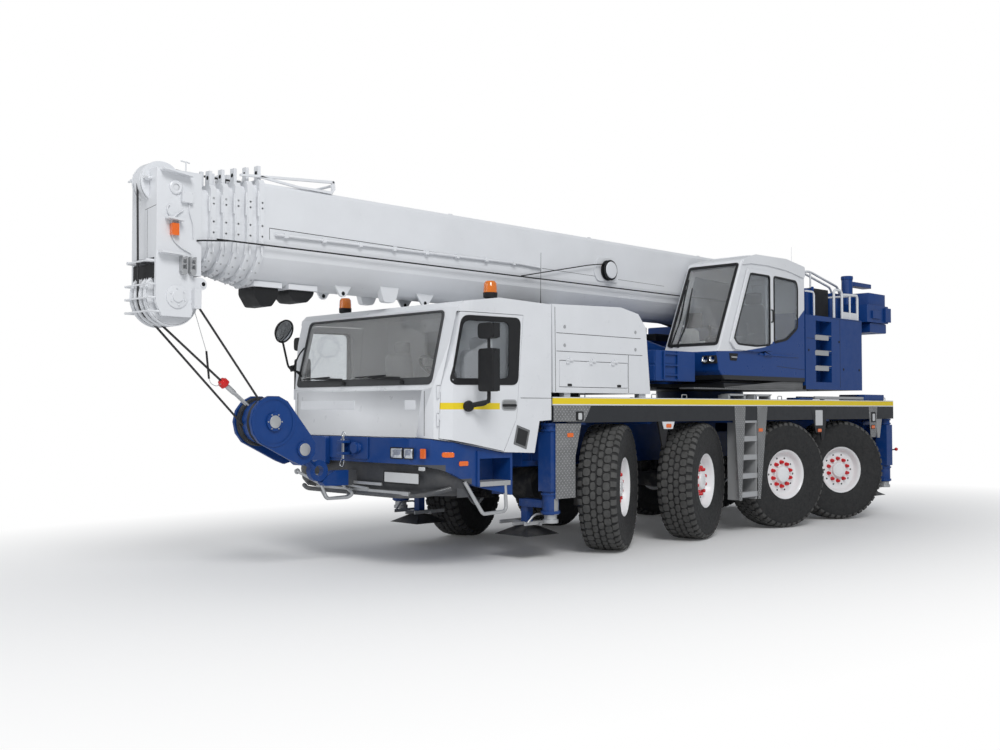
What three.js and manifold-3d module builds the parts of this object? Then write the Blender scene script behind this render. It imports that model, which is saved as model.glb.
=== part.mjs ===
// Four-axle telescopic mobile crane, road trim. Millimetres, +X forward, +Y left, +Z up, wheels on z = 0.
import * as THREE from 'three';
import { mergeVertices } from 'three/addons/utils/BufferGeometryUtils.js';
import Module from 'manifold-3d';

const wasm = await Module();
wasm.setup();
const { Manifold, Mesh } = wasm;

// ---- driving dimensions ----
const HALF_W = 1375;                          // half of the overall width
const AXLE_X = [0, -1640, -3720, -5390];      // axle stations
const STEER_L = [28, 17, -14.5, -27];         // left wheel angles as parked, degrees
const STEER_R = [20.6, 12.5, -10.7, -19.9];   // right wheel angles as parked
const TYRE_R = 725, TYRE_W = 445, RIM_R = 317.7;
const KING_Y = HALF_W - 425;                  // kingpin axis
const FIT = 0.3;                              // clearance between touching pieces
const GAP = 6;                                // shut line round doors and hatches
const FRAME_HALF = 420, FRAME_BOT = 950, FRAME_TOP = 1450, FRAME_X0 = -6650, FRAME_X1 = 1295, NOSE_X1 = 2200, NOSE_BOT = 820, NOSE_TOP = 1150;
const DECK_X0 = -6730, DECK_X1 = 893, DECK_BOT = 1655, DECK_TOP = 1745, SKIRT_BOT = 1467;
const CAB_X0 = 1140, CAB_X1 = 2690, CAB_HALF = 1365, CAB_WALL = 45, CAB_FLOOR = 1400;
const HOOD_HALF = 1340, HOOD_WALL = 30;
const OUT_X = [1030, -6660], OUT_HALF = 165, JACK_Y = HALF_W - 125, JACK_R = 90, FLOAT_Y = HALF_W - 475, FLOAT_HALF = 250;
const SLEW_X = -3500, RING_R = 620;
const BOOM_PIVOT = [-5300, 3150], BOOM_HALF = 350, BOOM_BOT = 2800, BOOM_TOP = 3750, BOOM_NOSE = 4090;
const SECTIONS = 5, SECTION_STEP = 25, SECTION_WALL = 12, SECTION_PITCH = 113;
const HEAD_X0 = 4610, HEAD_X1 = 5050, HEAD_HALF = 235, SHEAVE_Z = 2620, SHEAVE_X = 4850, SHEAVE_R = 250;
const LUFF_B = [-4000, 2100], LUFF_E = [-750, 2700], LUFF_R = 130, LUFF_ROD = 85;
const CRANE_CAB_IN = 445, CRANE_CAB_OUT = 1300;
const HOOK_C = [3620, 1360], HOOK_R = 255;
const ORIGIN_X = 890;                         // moves the box centre of the machine to x = 0

// ---- geometry helpers ----
function welded(g) {
  const h = g.clone();
  h.deleteAttribute('normal');
  h.deleteAttribute('uv');
  return mergeVertices(h, 1e-4);
}
function solid(g) {
  const h = welded(g);
  const v = new Float32Array(h.attributes.position.array), t = new Uint32Array(h.index.array);
  const keep = [];
  let vol = 0;
  for (let i = 0; i < t.length; i += 3) {
    const [a, b, c] = [t[i], t[i + 1], t[i + 2]];
    if (a === b || b === c || a === c) continue;
    keep.push(a, b, c);
    const p = i => [v[3 * i], v[3 * i + 1], v[3 * i + 2]];
    const [A, B, C] = [p(a), p(b), p(c)];
    vol += A[0] * (B[1] * C[2] - B[2] * C[1]) + A[1] * (B[2] * C[0] - B[0] * C[2]) + A[2] * (B[0] * C[1] - B[1] * C[0]);
  }
  if (vol < 0) for (let i = 0; i < keep.length; i += 3) [keep[i], keep[i + 1]] = [keep[i + 1], keep[i]];
  return new Manifold(new Mesh({ numProp: 3, vertProperties: v, triVerts: new Uint32Array(keep) }));
}
const box = (x0, x1, y0, y1, z0, z1) => solid(new THREE.BoxGeometry(x1 - x0, y1 - y0, z1 - z0).translate((x0 + x1) / 2, (y0 + y1) / 2, (z0 + z1) / 2));
const extrude = (pts, d, holes = []) => {
  const s = new THREE.Shape(pts.map(p => new THREE.Vector2(p[0], p[1])));
  for (const h of holes) s.holes.push(new THREE.Path(h.map(p => new THREE.Vector2(p[0], p[1]))));
  return new THREE.ExtrudeGeometry(s, { depth: d, bevelEnabled: false });
};
const prismZ = (pts, z0, z1) => solid(extrude(pts, z1 - z0).translate(0, 0, z0));
const prismY = (pts, y0, y1) => solid(extrude(pts, y1 - y0).rotateX(Math.PI / 2).translate(0, y1, 0));   // pts are [x, z]
const prismX = (pts, x0, x1, holes = []) => solid(extrude(pts, x1 - x0, holes).rotateX(Math.PI / 2).rotateZ(Math.PI / 2).translate(x0, 0, 0)); // pts are [y, z]
function rod(p, q, r, seg = 16) {
  const a = new THREE.Vector3(...p), b = new THREE.Vector3(...q), d = b.clone().sub(a);
  const g = new THREE.CylinderGeometry(r, r, d.length(), seg);
  g.applyQuaternion(new THREE.Quaternion().setFromUnitVectors(new THREE.Vector3(0, 1, 0), d.clone().normalize()));
  return solid(g.translate((p[0] + q[0]) / 2, (p[1] + q[1]) / 2, (p[2] + q[2]) / 2));
}
const cylY = (x, z, r, y0, y1, seg = 20) => rod([x, y0, z], [x, y1, z], r, seg);
const cylZ = (x, y, r, z0, z1, seg = 20) => rod([x, y, z0], [x, y, z1], r, seg);
const WHEEL_SEG = 24;                         // tyre and rim share their facets, and a flat facet stands on the ground
const wheelRing = pts => solid(new THREE.LatheGeometry(pts.map(p => new THREE.Vector2(p[0] / Math.cos(Math.PI / WHEEL_SEG), p[1])), WHEEL_SEG).rotateY(Math.PI / WHEEL_SEG));   // about Y
const bore = (r, seg = 24) => (r + 0.5) / Math.cos(Math.PI / seg);   // faceted hole whose flats clear a pin of radius r
const add = (...m) => Manifold.union(m.flat());
const cut = (a, ...m) => a.subtract(Manifold.union(m.flat()));
const rad = d => d * Math.PI / 180;

const group = new THREE.Group();
group.name = 'mobile_crane';
function node(name, man, color, roughness = 0.5, metalness = 0) {
  const m = man.getMesh();
  const g = new THREE.BufferGeometry();
  const n = m.numProp, pos = new Float32Array(m.numVert * 3);
  for (let i = 0; i < m.numVert; i++) for (let k = 0; k < 3; k++) pos[3 * i + k] = m.vertProperties[i * n + k] + (k === 0 ? ORIGIN_X : 0);
  g.setAttribute('position', new THREE.BufferAttribute(pos, 3));
  g.setIndex(Array.from(m.triVerts));
  g.computeVertexNormals();
  const mesh = new THREE.Mesh(g, new THREE.MeshStandardMaterial({ color, roughness, metalness }));
  mesh.name = name;
  group.add(mesh);
}
const WHITE = '#eceef0', BLUE = '#1d3f86', GREY = '#4a4e54', DARK = '#2a2c2f', RUBBER = '#35373a';

// ---- running gear: tyres, rims, knuckles on eight kingpins ----
// the bead is bevelled where the rim flange stands beside it
const tyreProfile = [[RIM_R + FIT, -164], [RIM_R + 24.3, -184], [540, -TYRE_W / 2], [TYRE_R - 32, -206], [TYRE_R, -140], [TYRE_R, 140], [TYRE_R - 32, 206], [540, TYRE_W / 2], [RIM_R + 24.3, 184], [RIM_R + FIT, 164], [RIM_R + FIT, -164]];
const rimProfile = [[0, 45], [292, 45], [292, -182], [RIM_R + 20.3, -182], [RIM_R, -166], [RIM_R, 166], [RIM_R + 20.3, 182], [302, 182], [286, 80], [135, 80], [112, 150], [0, 150]];
function wheelSet(i, side) {
  const steer = side > 0 ? STEER_L[i] : STEER_R[i];
  const id = `${i + 1}${side > 0 ? 'l' : 'r'}`;
  const cy = HALF_W - TYRE_W / 2 - KING_Y;     // distance of the wheel plane outside the kingpin
  const place = m => m.rotate([0, 0, side > 0 ? 0 : 180]).translate([0, side * cy, 0]).rotate([0, 0, steer]).translate([AXLE_X[i], side * KING_Y, TYRE_R]);
  const rim = wheelRing(rimProfile);
  const tyre = wheelRing(tyreProfile);
  node(`tyre_${id}`, place(tyre), RUBBER, 0.9);
  node(`rim_${id}`, place(rim), WHITE, 0.45, 0.1);
  const knuckle = add(cylY(0, 0, 160, -150, 45 - FIT, 16), cylY(0, 0, 95, -cy - 12.5, -140, 8), cylZ(0, -cy, 62, -165, 165, 12), box(-250, 0, -cy - 45, -cy + 45, -125, -85));
  node(`knuckle_${id}`, place(knuckle), DARK, 0.6, 0.4);
}
for (let i = 0; i < 4; i++) for (const s of [1, -1]) wheelSet(i, s);

// ---- axle beams tied by the drive shafts ----
{
  const parts = [];
  for (const x of AXLE_X) {
    parts.push(box(x - 85, x + 85, -KING_Y + 130, KING_Y - 130, TYRE_R - 90, TYRE_R + 90));
    parts.push(cylY(x, TYRE_R, 225, -190, 190, 14));
    for (const s of [1, -1]) {
      parts.push(box(x - 70, x + 70, s > 0 ? KING_Y - 160 : -KING_Y - 60, s > 0 ? KING_Y + 60 : -KING_Y + 160, TYRE_R + 165 + FIT, TYRE_R + 225));
      parts.push(box(x - 70, x + 70, s > 0 ? KING_Y - 160 : -KING_Y - 60, s > 0 ? KING_Y + 60 : -KING_Y + 160, TYRE_R - 225, TYRE_R - 165 - FIT));
      parts.push(box(x - 85, x + 85, s > 0 ? KING_Y - 210 : -KING_Y + 120, s > 0 ? KING_Y - 120 : -KING_Y + 210, TYRE_R - 225, TYRE_R + 225));
      parts.push(box(x - 60, x + 60, s * 390 - 45, s * 390 + 45, TYRE_R + 80, FRAME_BOT - FIT));
    }
  }
  parts.push(rod([AXLE_X[3], 0, TYRE_R + 30], [AXLE_X[0], 0, TYRE_R + 30], 45, 8));
  node('axles', add(parts), DARK, 0.65, 0.4);
}

// ---- chassis frame with outrigger boxes and slewing pedestal ----
{
  let f = add(
    box(FRAME_X0, FRAME_X1, FRAME_HALF - 60, FRAME_HALF, FRAME_BOT, FRAME_TOP),
    box(FRAME_X0, FRAME_X1, -FRAME_HALF, -FRAME_HALF + 60, FRAME_BOT, FRAME_TOP),
    box(FRAME_X0, -420, -FRAME_HALF, FRAME_HALF, FRAME_TOP - 40, FRAME_TOP),
    box(880, FRAME_X1, -FRAME_HALF, FRAME_HALF, FRAME_TOP - 40, FRAME_TOP),
    ...[1, -1].map(s => box(1000, NOSE_X1, s * (FRAME_HALF - 30) - 30, s * (FRAME_HALF - 30) + 30, NOSE_BOT, NOSE_TOP)),
    ...[-5000, -4450, -2700, -900, 250].map(x => box(x, x + 100, -FRAME_HALF, FRAME_HALF, FRAME_BOT, FRAME_BOT + 100)),
    ...[-6300, -4900, -2400, -700, 500].map(x => box(x - 50, x + 50, -1250, 1250, FRAME_TOP - 10, FRAME_TOP + 40)),
    ...[-6300, -4900, -2400, -700, 500].flatMap(x => [1, -1].map(s => box(x - 50, x + 50, s * 1180 - 40, s * 1180 + 40, FRAME_TOP + 30, DECK_BOT - FIT))),
    cylZ(SLEW_X, 0, RING_R, FRAME_TOP - 20, 1860, 28),
    ...OUT_X.map(x => box(x - OUT_HALF, x + OUT_HALF, -985, 985, 1000, 1420)),
    box(NOSE_X1 - 140, NOSE_X1, -700, 700, 870, NOSE_TOP),
    box(1150, 1290, -900, 900, FRAME_TOP - 30, FRAME_TOP + 20),
    box(OUT_X[1] - OUT_HALF - 30, OUT_X[1] - OUT_HALF + 5, -1000, 1000, 640, 1640)
  );
  f = cut(f, ...OUT_X.flatMap(x => [box(x - 150, x - 8, -2000, 2000, 1056, 1364), box(x + 8, x + 150, -2000, 2000, 1056, 1364)]),
    cylZ(SLEW_X, 0, 480, 1300, 1900, 20), box(-335, 805, -285, 285, FRAME_BOT + 110, 1500));
  node('chassis_frame', f, BLUE, 0.45, 0.1);
}

// ---- deck with side skirts and side ladder ----
{
  let d = add(box(DECK_X0, DECK_X1, -HALF_W, HALF_W, DECK_BOT, DECK_TOP),
    ...[1, -1].map(s => box(DECK_X0, DECK_X1, s > 0 ? HALF_W - 20 : -HALF_W, s > 0 ? HALF_W : -HALF_W + 20, SKIRT_BOT, DECK_BOT + 10)),
    ...[1, -1].map(s => box(DECK_X1 - 20, 1120, s > 0 ? HALF_W - 20 : -HALF_W, s > 0 ? HALF_W : -HALF_W + 20, 1480, DECK_TOP)));
  for (const s of [1, -1]) {
    const y0 = s > 0 ? HALF_W - 215 : -HALF_W + 15, y1 = s > 0 ? HALF_W - 15 : -HALF_W + 215, g0 = s > 0 ? HALF_W - 30 : -HALF_W + 10, g1 = s > 0 ? HALF_W - 10 : -HALF_W + 30;
    d = add(d, box(-2490, -2460, y0, y1, 440, DECK_BOT + 5), box(-2840, -2810, y0, y1, 440, DECK_BOT + 5),
      ...[0, 1, 2, 3, 4].map(k => box(-2830, -2470, y0, y1, 480 + 240 * k, 510 + 240 * k)),
      prismY([[-2395, 1480], [-2470, 1480], [-2470, 760]], g0, g1), prismY([[-2820, 760], [-2820, 1480], [-2965, 1480]], g0, g1),
      ...[-820, -4555, -6260].map(x => prismY([[x + 110, 1480], [x + 30, 1180], [x - 30, 1180], [x - 110, 1480]], g0, g1)));
  }
  d = cut(d, cylZ(SLEW_X, 0, RING_R + 60, 1600, 1800, 28), box(-430, 870, -480, 480, 1600, 1800));
  node('deck', d, WHITE, 0.5, 0.05);
}

// ---- carrier cab: hollow shell, doors cut from the same skin ----
const cabPlan = (o, xr) => [[xr, -(CAB_HALF - o)], [2300, -(CAB_HALF - 8 - o)], [2500, -(1320 - o)], [2630 - o, -(1180 - o)], [CAB_X1 + 5 - o, -(980 - o)], [CAB_X1 + 5 - o, 980 - o], [2630 - o, 1180 - o], [2500, 1320 - o], [2300, CAB_HALF - 8 - o], [xr, CAB_HALF - o]];
const cabSide = [[CAB_X1, 1335], [2672, 1800], [2636, 1825], [2440, 2620], [2370, 2680], [1900, 2742], [CAB_X0, 2722], [CAB_X0, 1500], [1320, 1490], [1395, 1160], [1840, 1180]];
const cabInner = [[2632, CAB_FLOOR], [2620, 1790], [2585, 1815], [2395, 2592], [2345, 2632], [1895, 2692], [CAB_X0 + CAB_WALL, 2675], [CAB_X0 + CAB_WALL, 1545], [1400, 1535], [1400, CAB_FLOOR]];
const doorPoly = o => [[2596 - o, 1322 + o * 1.1], [2585 - o, 1840], [2425 - o, 2575 - o], [1560 + o, 2585 - o], [1655 + o, 1520], [1838 + o, 1184 + o * 1.1]];
const HINGE = [2608, 1219], HINGE_Z = [1450, 1720];   // door hinge axis and the foot of each hinge
const doorGlass = [[2520, 1905], [2395, 2500], [1760, 2515], [1715, 2450], [1710, 1990], [1790, 1905]];
{
  const outer = prismZ(cabPlan(0, CAB_X0), 1100, 2800).intersect(prismY(cabSide, -1400, 1400));
  const inner = prismZ(cabPlan(CAB_WALL, CAB_X0), 1300, 2800).intersect(prismY(cabInner, -1400, 1400));
  const shell = cut(outer, inner);
  const cab = cut(shell,
    prismY(doorPoly(0), 1150, 1450), prismY(doorPoly(0), -1450, -1150),
    prismY([[2500, 1880], [2750, 1880], [2700, 2575], [2300, 2575]], -1115, 1115),
    box(CAB_X0 - 20, CAB_X0 + 80, -620, 620, 2080, 2520),
    ...[1, -1].flatMap(s => HINGE_Z.map(z => add(cylZ(HINGE[0], s * HINGE[1], 19, z + 60, z + 126, 10), box(2578, HINGE[0], s > 0 ? 1200 : -1240, s > 0 ? 1240 : -1200, z + 60, z + 126)))));
  // the pillar edge is bevelled along the path of the opening door
  const swing = [2, 4, 6, 8, 10, 12, 14, 16, 18, 20, 22, 24, 28, 32, 37, 43, 50, 58, 66, 75];
  const sweep = [1, -1].map(s => {
    const slab = shell.intersect(prismY(doorPoly(1), s > 0 ? 1150 : -1450, s > 0 ? 1450 : -1150));
    return Manifold.union(swing.map(t => slab.translate([-HINGE[0], -s * HINGE[1], 0]).rotate([0, 0, -s * t]).translate([HINGE[0], s * HINGE[1], 0])));
  });
  const brackets = [1, -1].map(s => box(1160, 1270, s * 700 - 60, s * 700 + 60, FRAME_TOP + 20 + FIT, 1530));
  const pins = [1, -1].flatMap(s => HINGE_Z.map(z => cylZ(HINGE[0], s * HINGE[1], 13, z, z + 60, 10)));
  node('carrier_cab', add(cut(cab, ...sweep), ...brackets, ...pins), WHITE, 0.4, 0.05);
  for (const s of [1, -1]) {
    const y0 = s > 0 ? 1200 : -1450, y1 = s > 0 ? 1450 : -1200;
    let door = shell.intersect(prismY(doorPoly(GAP), y0, y1));
    door = cut(door, prismY(doorGlass, y0 - 20, y1));
    // mirror arm and mirror ride on the door
    const arm = add(rod([2340, s * 1325, 1645], [2262, s * 1575, 1690], 20, 8), rod([2262, s * 1575, 1675], [2262, s * 1575, 2330], 16, 8), box(2215, 2300, s > 0 ? 1480 : -1680, s > 0 ? 1680 : -1480, 1790, 2200), box(2215, 2300, s > 0 ? 1480 : -1680, s > 0 ? 1680 : -1480, 2310, 2450));
    // the door's hinge barrels sit on the cab's barrels
    const barrels = HINGE_Z.map(z => add(cylZ(HINGE[0], s * HINGE[1], 13, z + 60 + FIT, z + 120, 10), box(2566, HINGE[0], s > 0 ? HINGE[1] - 6 : -HINGE[1] - 7, s > 0 ? HINGE[1] + 7 : -HINGE[1] + 6, z + 60 + FIT, z + 120)));
    node(s > 0 ? 'cab_door_l' : 'cab_door_r', add(door, arm, ...barrels), WHITE, 0.4, 0.05);
  }
  const glass = prismY([[2622, 1880 + FIT], [2610, 1880 + FIT], [2440, 2574], [2452, 2574]], -1114, 1114);
  node('windshield', glass, '#9fb0ba', 0.1, 0);
  const seats = [1, -1].map(s => add(box(1520, 2020, s * 640 - 240, s * 640 + 240, 1640, 1780), box(1450, 1600, s * 640 - 240, s * 640 + 240, 1700, 2330), box(1560, 1900, s * 640 - 150, s * 640 + 150, CAB_FLOOR, 1660)));
  const dash = add(prismY([[2250, CAB_FLOOR + FIT], [2560, CAB_FLOOR + FIT], [2560, 1820], [2330, 1880], [2250, 1800]], -1080, 1080), rod([2090, 640, 2040], [2330, 640, 1750], 30, 8), rod([2090, 445, 2040], [2090, 835, 2040], 12, 6), box(1500, 2500, -900, 900, CAB_FLOOR + FIT, CAB_FLOOR + 16));
  node('cab_interior', add(...seats, dash, steeringWheel()), '#b9bcc0', 0.8);
}
function steeringWheel() {
  const g = new THREE.LatheGeometry([[210, -14], [210, 14], [182, 14], [182, -14], [210, -14]].map(p => new THREE.Vector2(p[0], p[1])), 14);
  g.rotateX(Math.PI / 2).rotateY(rad(-35)).translate(2090, 640, 2040);
  return solid(g);
}

// ---- front bumper: blue band over grey apron ----
{
  const plan = (o, xr) => [[xr, -(1330 - o)], [2480 - o, -(1300 - o)], [2640 - o, -(1150 - o)], [2735 - o, -(940 - o)], [2735 - o, 940 - o], [2640 - o, 1150 - o], [2480 - o, 1300 - o], [xr, 1330 - o]];
  const bandTop = x => 1180 + (x - 1840) * 0.1824 - 8, R0 = 1690;
  let b = add(
    prismZ(plan(0, R0), 700, 1340).intersect(prismY([[R0, 740], [2176, 846], [2340, 912], [2560, 1020], [2760, 1080], [2760, bandTop(2690)], [2690, bandTop(2690)], [1840, bandTop(1840)], [R0, bandTop(1840)]], -1400, 1400)),
    prismZ(plan(45, 2250), 745, 1090));
  b = cut(b, prismZ(plan(40, 1500), 650, 1400), prismZ(plan(85, 2200), 700, 910));
  b = add(b, ...[1, -1].map(s => box(R0, 2180, s > 0 ? 1060 : -1330, s > 0 ? 1330 : -1060, 860, 885)),           // cab step
    ...[1, -1].flatMap(s => [box(R0, R0 + 30, s > 0 ? 1060 : -1330, s > 0 ? 1330 : -1060, 740, 1165), box(2150, 2180, s > 0 ? 1060 : -1330, s > 0 ? 1330 : -1060, 850, 1200), box(R0, 2180, s * 1060 - 12, s * 1060 + 12, 850, 1165)]));
  b = cut(b, ...[1, -1].map(s => box(R0 + 30, 2150, s > 0 ? 1075 : -1400, s > 0 ? 1400 : -1075, 885, 1120)));
  b = add(b, box(NOSE_X1 + FIT, 2260, -1270, 1270, 960, 1120), ...[1, -1].map(s => box(2230, 2640, s * 400 - 40, s * 400 + 40, 960, 1120)), box(2230, 2660, -60, 60, 900, 1120),
    prismY([[2640, 985], [2640, 830], [2960, 830], [3090, 835], [3126.4, 870], [3040.2, 953.4], [2970, 985]], -45, 45));   // saddle the stowed hook sits on
  node('front_bumper', b, BLUE, 0.45, 0.05);
}

// ---- engine hood, side hatch and engine ----
{
  const prof = [[1085, 1790], [1100, 2735], [-60, 2772], [-380, 2715], [-520, 2560], [-600, 1790]];
  const inn = [[1055, 1700], [1070, 2706], [-60, 2740], [-360, 2686], [-491, 2550], [-566, 1700]];
  const hatch = (o) => [[985 - o, 1850 + o], [985 - o, 2140 - o], [-180 + o, 2140 - o], [-180 + o, 1850 + o]];
  let hood = cut(prismY(prof, -HOOD_HALF, HOOD_HALF), prismY(inn, -HOOD_HALF + HOOD_WALL, HOOD_HALF - HOOD_WALL));
  hood = cut(hood, prismY(hatch(0), HOOD_HALF - 60, HOOD_HALF + 20));
  const rearFeet = [1, -1].map(s => box(-540, -420, s * (HOOD_HALF - 60) - 35, s * (HOOD_HALF - 60) + 35, DECK_TOP + FIT, 1860));
  const frontFeet = [1, -1].map(s => box(780, 880, s * (HOOD_HALF - 60) - 35, s * (HOOD_HALF - 60) + 35, DECK_TOP + FIT, 1830));
  const sills = [1, -1].map(s => box(780, 1070, s * (HOOD_HALF - 60) - 35, s * (HOOD_HALF - 60) + 35, 1795, 1830));
  const hingeX = [20, 400, 780], hy = HOOD_HALF + 12, hz = 2140;
  const fixed = hingeX.flatMap(x => [rod([x, hy, hz], [x + 50, hy, hz], 11, 8), box(x, x + 50, HOOD_HALF - 2, hy + 4, hz, hz + 34)]);
  const moving = hingeX.flatMap(x => [rod([x + 50 + FIT, hy, hz], [x + 100, hy, hz], 11, 8), box(x + 50 + FIT, x + 100, HOOD_HALF - 2, hy + 4, hz - 34, hz)]);
  node('engine_hood', add(hood, ...rearFeet, ...frontFeet, ...sills, ...fixed), WHITE, 0.42, 0.05);
  node('engine_hatch', add(prismY(hatch(GAP), HOOD_HALF - HOOD_WALL, HOOD_HALF), ...moving), WHITE, 0.42, 0.05);
  node('engine_block', add(box(-330, 800, -280, 280, 1080, 2150), box(-420, 850, -420, 420, 1500, 2000), box(230, 370, -200, 200, FRAME_BOT + 100 + FIT, 1100)), '#6b6f73', 0.7, 0.3);
}

// ---- outrigger beams and jacks ----
{
  for (const [k, x] of OUT_X.entries()) for (const s of [1, -1]) {
    const id = `${k ? 'rear' : 'front'}_${s > 0 ? 'l' : 'r'}`;
    const bx = s > 0 ? [x - 148, x - 10] : [x + 10, x + 148];
    const y = (a, b) => s > 0 ? [a, b] : [-b, -a];
    const yf = s * FLOAT_Y;
    let beam = add(box(...bx, ...y(-960, JACK_Y - 40), 1056 + FIT, 1362),
      cylZ(x, s * JACK_Y, JACK_R, 490, 1465, 16), box(x - 95, x + 95, ...y(JACK_Y - 90, JACK_Y + 92), 740, 1370),
      box(x - 60, x + 60, ...y(FLOAT_Y - 60, JACK_Y - 50), 560, 640), box(x - 45, x + 45, ...y(FLOAT_Y - 45, FLOAT_Y + 45), 340, 620),   // holder of the stowed float
      solid(new THREE.CylinderGeometry(95, FLOAT_HALF * Math.SQRT2, 100, 4).rotateY(Math.PI / 4).rotateX(Math.PI / 2).translate(x, yf, 310)));
    if (k === 0) beam = add(beam, prismY([[x + 34, 1460], [x - 380, 1460], [x - 280, 1100], [x - 280, 660], [x + 34, 660]], ...y(JACK_Y + 84, JACK_Y + 106)));   // mudguard carried by the beam end
    node(`outrigger_beam_${id}`, cut(beam, cylZ(x, s * JACK_Y, 70 + FIT, 400, 1430, 16)), BLUE, 0.45, 0.1);
    const jack = add(cylZ(x, s * JACK_Y, 70, 430, 1400, 16), cylZ(x, s * JACK_Y, 85, 400, 440, 16));
    node(`outrigger_jack_${id}`, jack, GREY, 0.5, 0.3);
  }
}

// ---- superstructure: turntable, boom cradle, cabinets ----
{
  const cheek = [[-2280, 1900], [-2280, 2180], [-4200, 2900], [-4950, 3420], [-5600, 3420], [-5760, 3000], [-6140, 2790], [-6290, 2790], [-6290, 2150], [-6000, 1900]];
  let s = add(
    cylZ(SLEW_X, 0, RING_R, 1860 + FIT, 1905, 28),
    prismZ([[-2250, -800], [-2250, 1250], [-5850, 1250], [-6000, 420], [-6000, -420], [-5600, -1100], [-2900, -1100]], 1895, 1950),
    prismY(cheek, 372, 425), prismY(cheek, -425, -372),
    box(-5870, -4215, 430, CRANE_CAB_OUT, 1895, 2950),
    box(-5500, -2700, -1150, -430, 1940, 2600),
    box(-6270, -6180, -400, 400, 1960, 2300),
    box(-1760, -950, -1150, 1150, 1960, 2330), box(-2300, -1700, -420, 420, 1900, 1955), box(-2300, -1740, -380, -330, 1950, 2180), box(-2300, -1740, 330, 380, 1950, 2180)
  );
  s = cut(s, box(-4950, -4500, 1120, 1400, 2000, 2880),
    cylY(BOOM_PIVOT[0], BOOM_PIVOT[1], bore(60), -500, 500, 24),
    box(-6400, -5650, -371.9, 371.9, 2130, 2900));
  s = add(s, ...[2200, 2420, 2640].map(z => box(-4960, -4490, 1100, 1290, z, z + 30)),
    ...[1, -1].map(k => add(box(LUFF_B[0] - 120, LUFF_B[0] + 120, k > 0 ? 125 : -200, k > 0 ? 200 : -125, 1940, LUFF_B[1] + 20), cylY(LUFF_B[0], LUFF_B[1], 120, k > 0 ? 125 : -200, k > 0 ? 200 : -125))),
    cylY(LUFF_B[0], LUFF_B[1], 60, -200, 200, 20));
  node('superstructure', s, BLUE, 0.45, 0.1);
}

// ---- crane cab with sliding door ----
{
  const side = [[-2030, 2340], [-2085, 2420], [-2620, 3575], [-2900, 3655], [-3700, 3665], [-4190, 3600], [-4190, 1990], [-2200, 1990], [-2090, 2100]];
  const inn = [[-2120, 2360], [-2150, 2430], [-2660, 3525], [-2915, 3600], [-3700, 3612], [-4145, 3550], [-4145, 2110], [-2230, 2110], [-2165, 2150]];
  const y0 = CRANE_CAB_IN, y1 = CRANE_CAB_OUT;
  let c = cut(prismY(side, y0, y1), prismY(inn, y0 + 40, y1 - 40));
  c = cut(c,
    prismY([[-2000, 2435], [-2160, 2435], [-2640, 3480], [-2500, 3520]], y0 + 60, y1 - 60),          // windscreen
    prismY([[-2330, 2520], [-2730, 3420], [-3230, 3420], [-3230, 2450], [-2900, 2410], [-2450, 2430]], y1 - 80, y1 + 10), // door opening
    prismY([[-3400, 2500], [-3400, 3400], [-3960, 3380], [-4000, 3300], [-3990, 2720], [-3700, 2560]], y1 - 80, y1 + 10), // fixed rear pane
    prismY([[-2330, 2520], [-2730, 3420], [-3960, 3380], [-3960, 2600]], y0 - 10, y0 + 80));           // boom side window
  c = add(c, box(-4100, -2350, y0 + 150, y1 - 150, 1950 + FIT, 2000));
  const rail = box(-4000, -3000, y1 - 5, y1 + 14, 2330, 2360);
  c = add(c, rail);
  node('crane_cab', c, WHITE, 0.4, 0.05);
  const poly = [[-2290, 2480], [-2715, 3460], [-3290, 3460], [-3290, 2400], [-2900, 2368], [-2400, 2385]];
  const pane = [[-2360, 2530], [-2755, 3405], [-3235, 3405], [-3235, 2470], [-2900, 2440], [-2450, 2450]];
  const door = add(cut(prismY(poly, y1 + 6, y1 + 36), prismY(pane, y1, y1 + 50)), box(-3280, -3100, y1 + 14 + FIT, y1 + 36, 2330, 2385));
  node('crane_cab_door', door, WHITE, 0.4, 0.05);
  const sy = (y0 + y1) / 2;
  node('crane_seat', add(box(-3500, -3000, sy - 240, sy + 240, 2460, 2590), box(-3600, -3440, sy - 230, sy + 230, 2500, 3080), box(-3600, -3520, sy - 130, sy + 130, 3000, 3240), box(-3450, -3080, sy - 160, sy + 160, 2110 + FIT, 2480), box(-3450, -2850, sy - 330, sy - 250, 2440, 2640), box(-3450, -2850, sy + 250, sy + 330, 2440, 2640), box(-3300, -3200, sy - 330, sy + 330, 2380, 2460)), '#3b3d40', 0.85);
}

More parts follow.
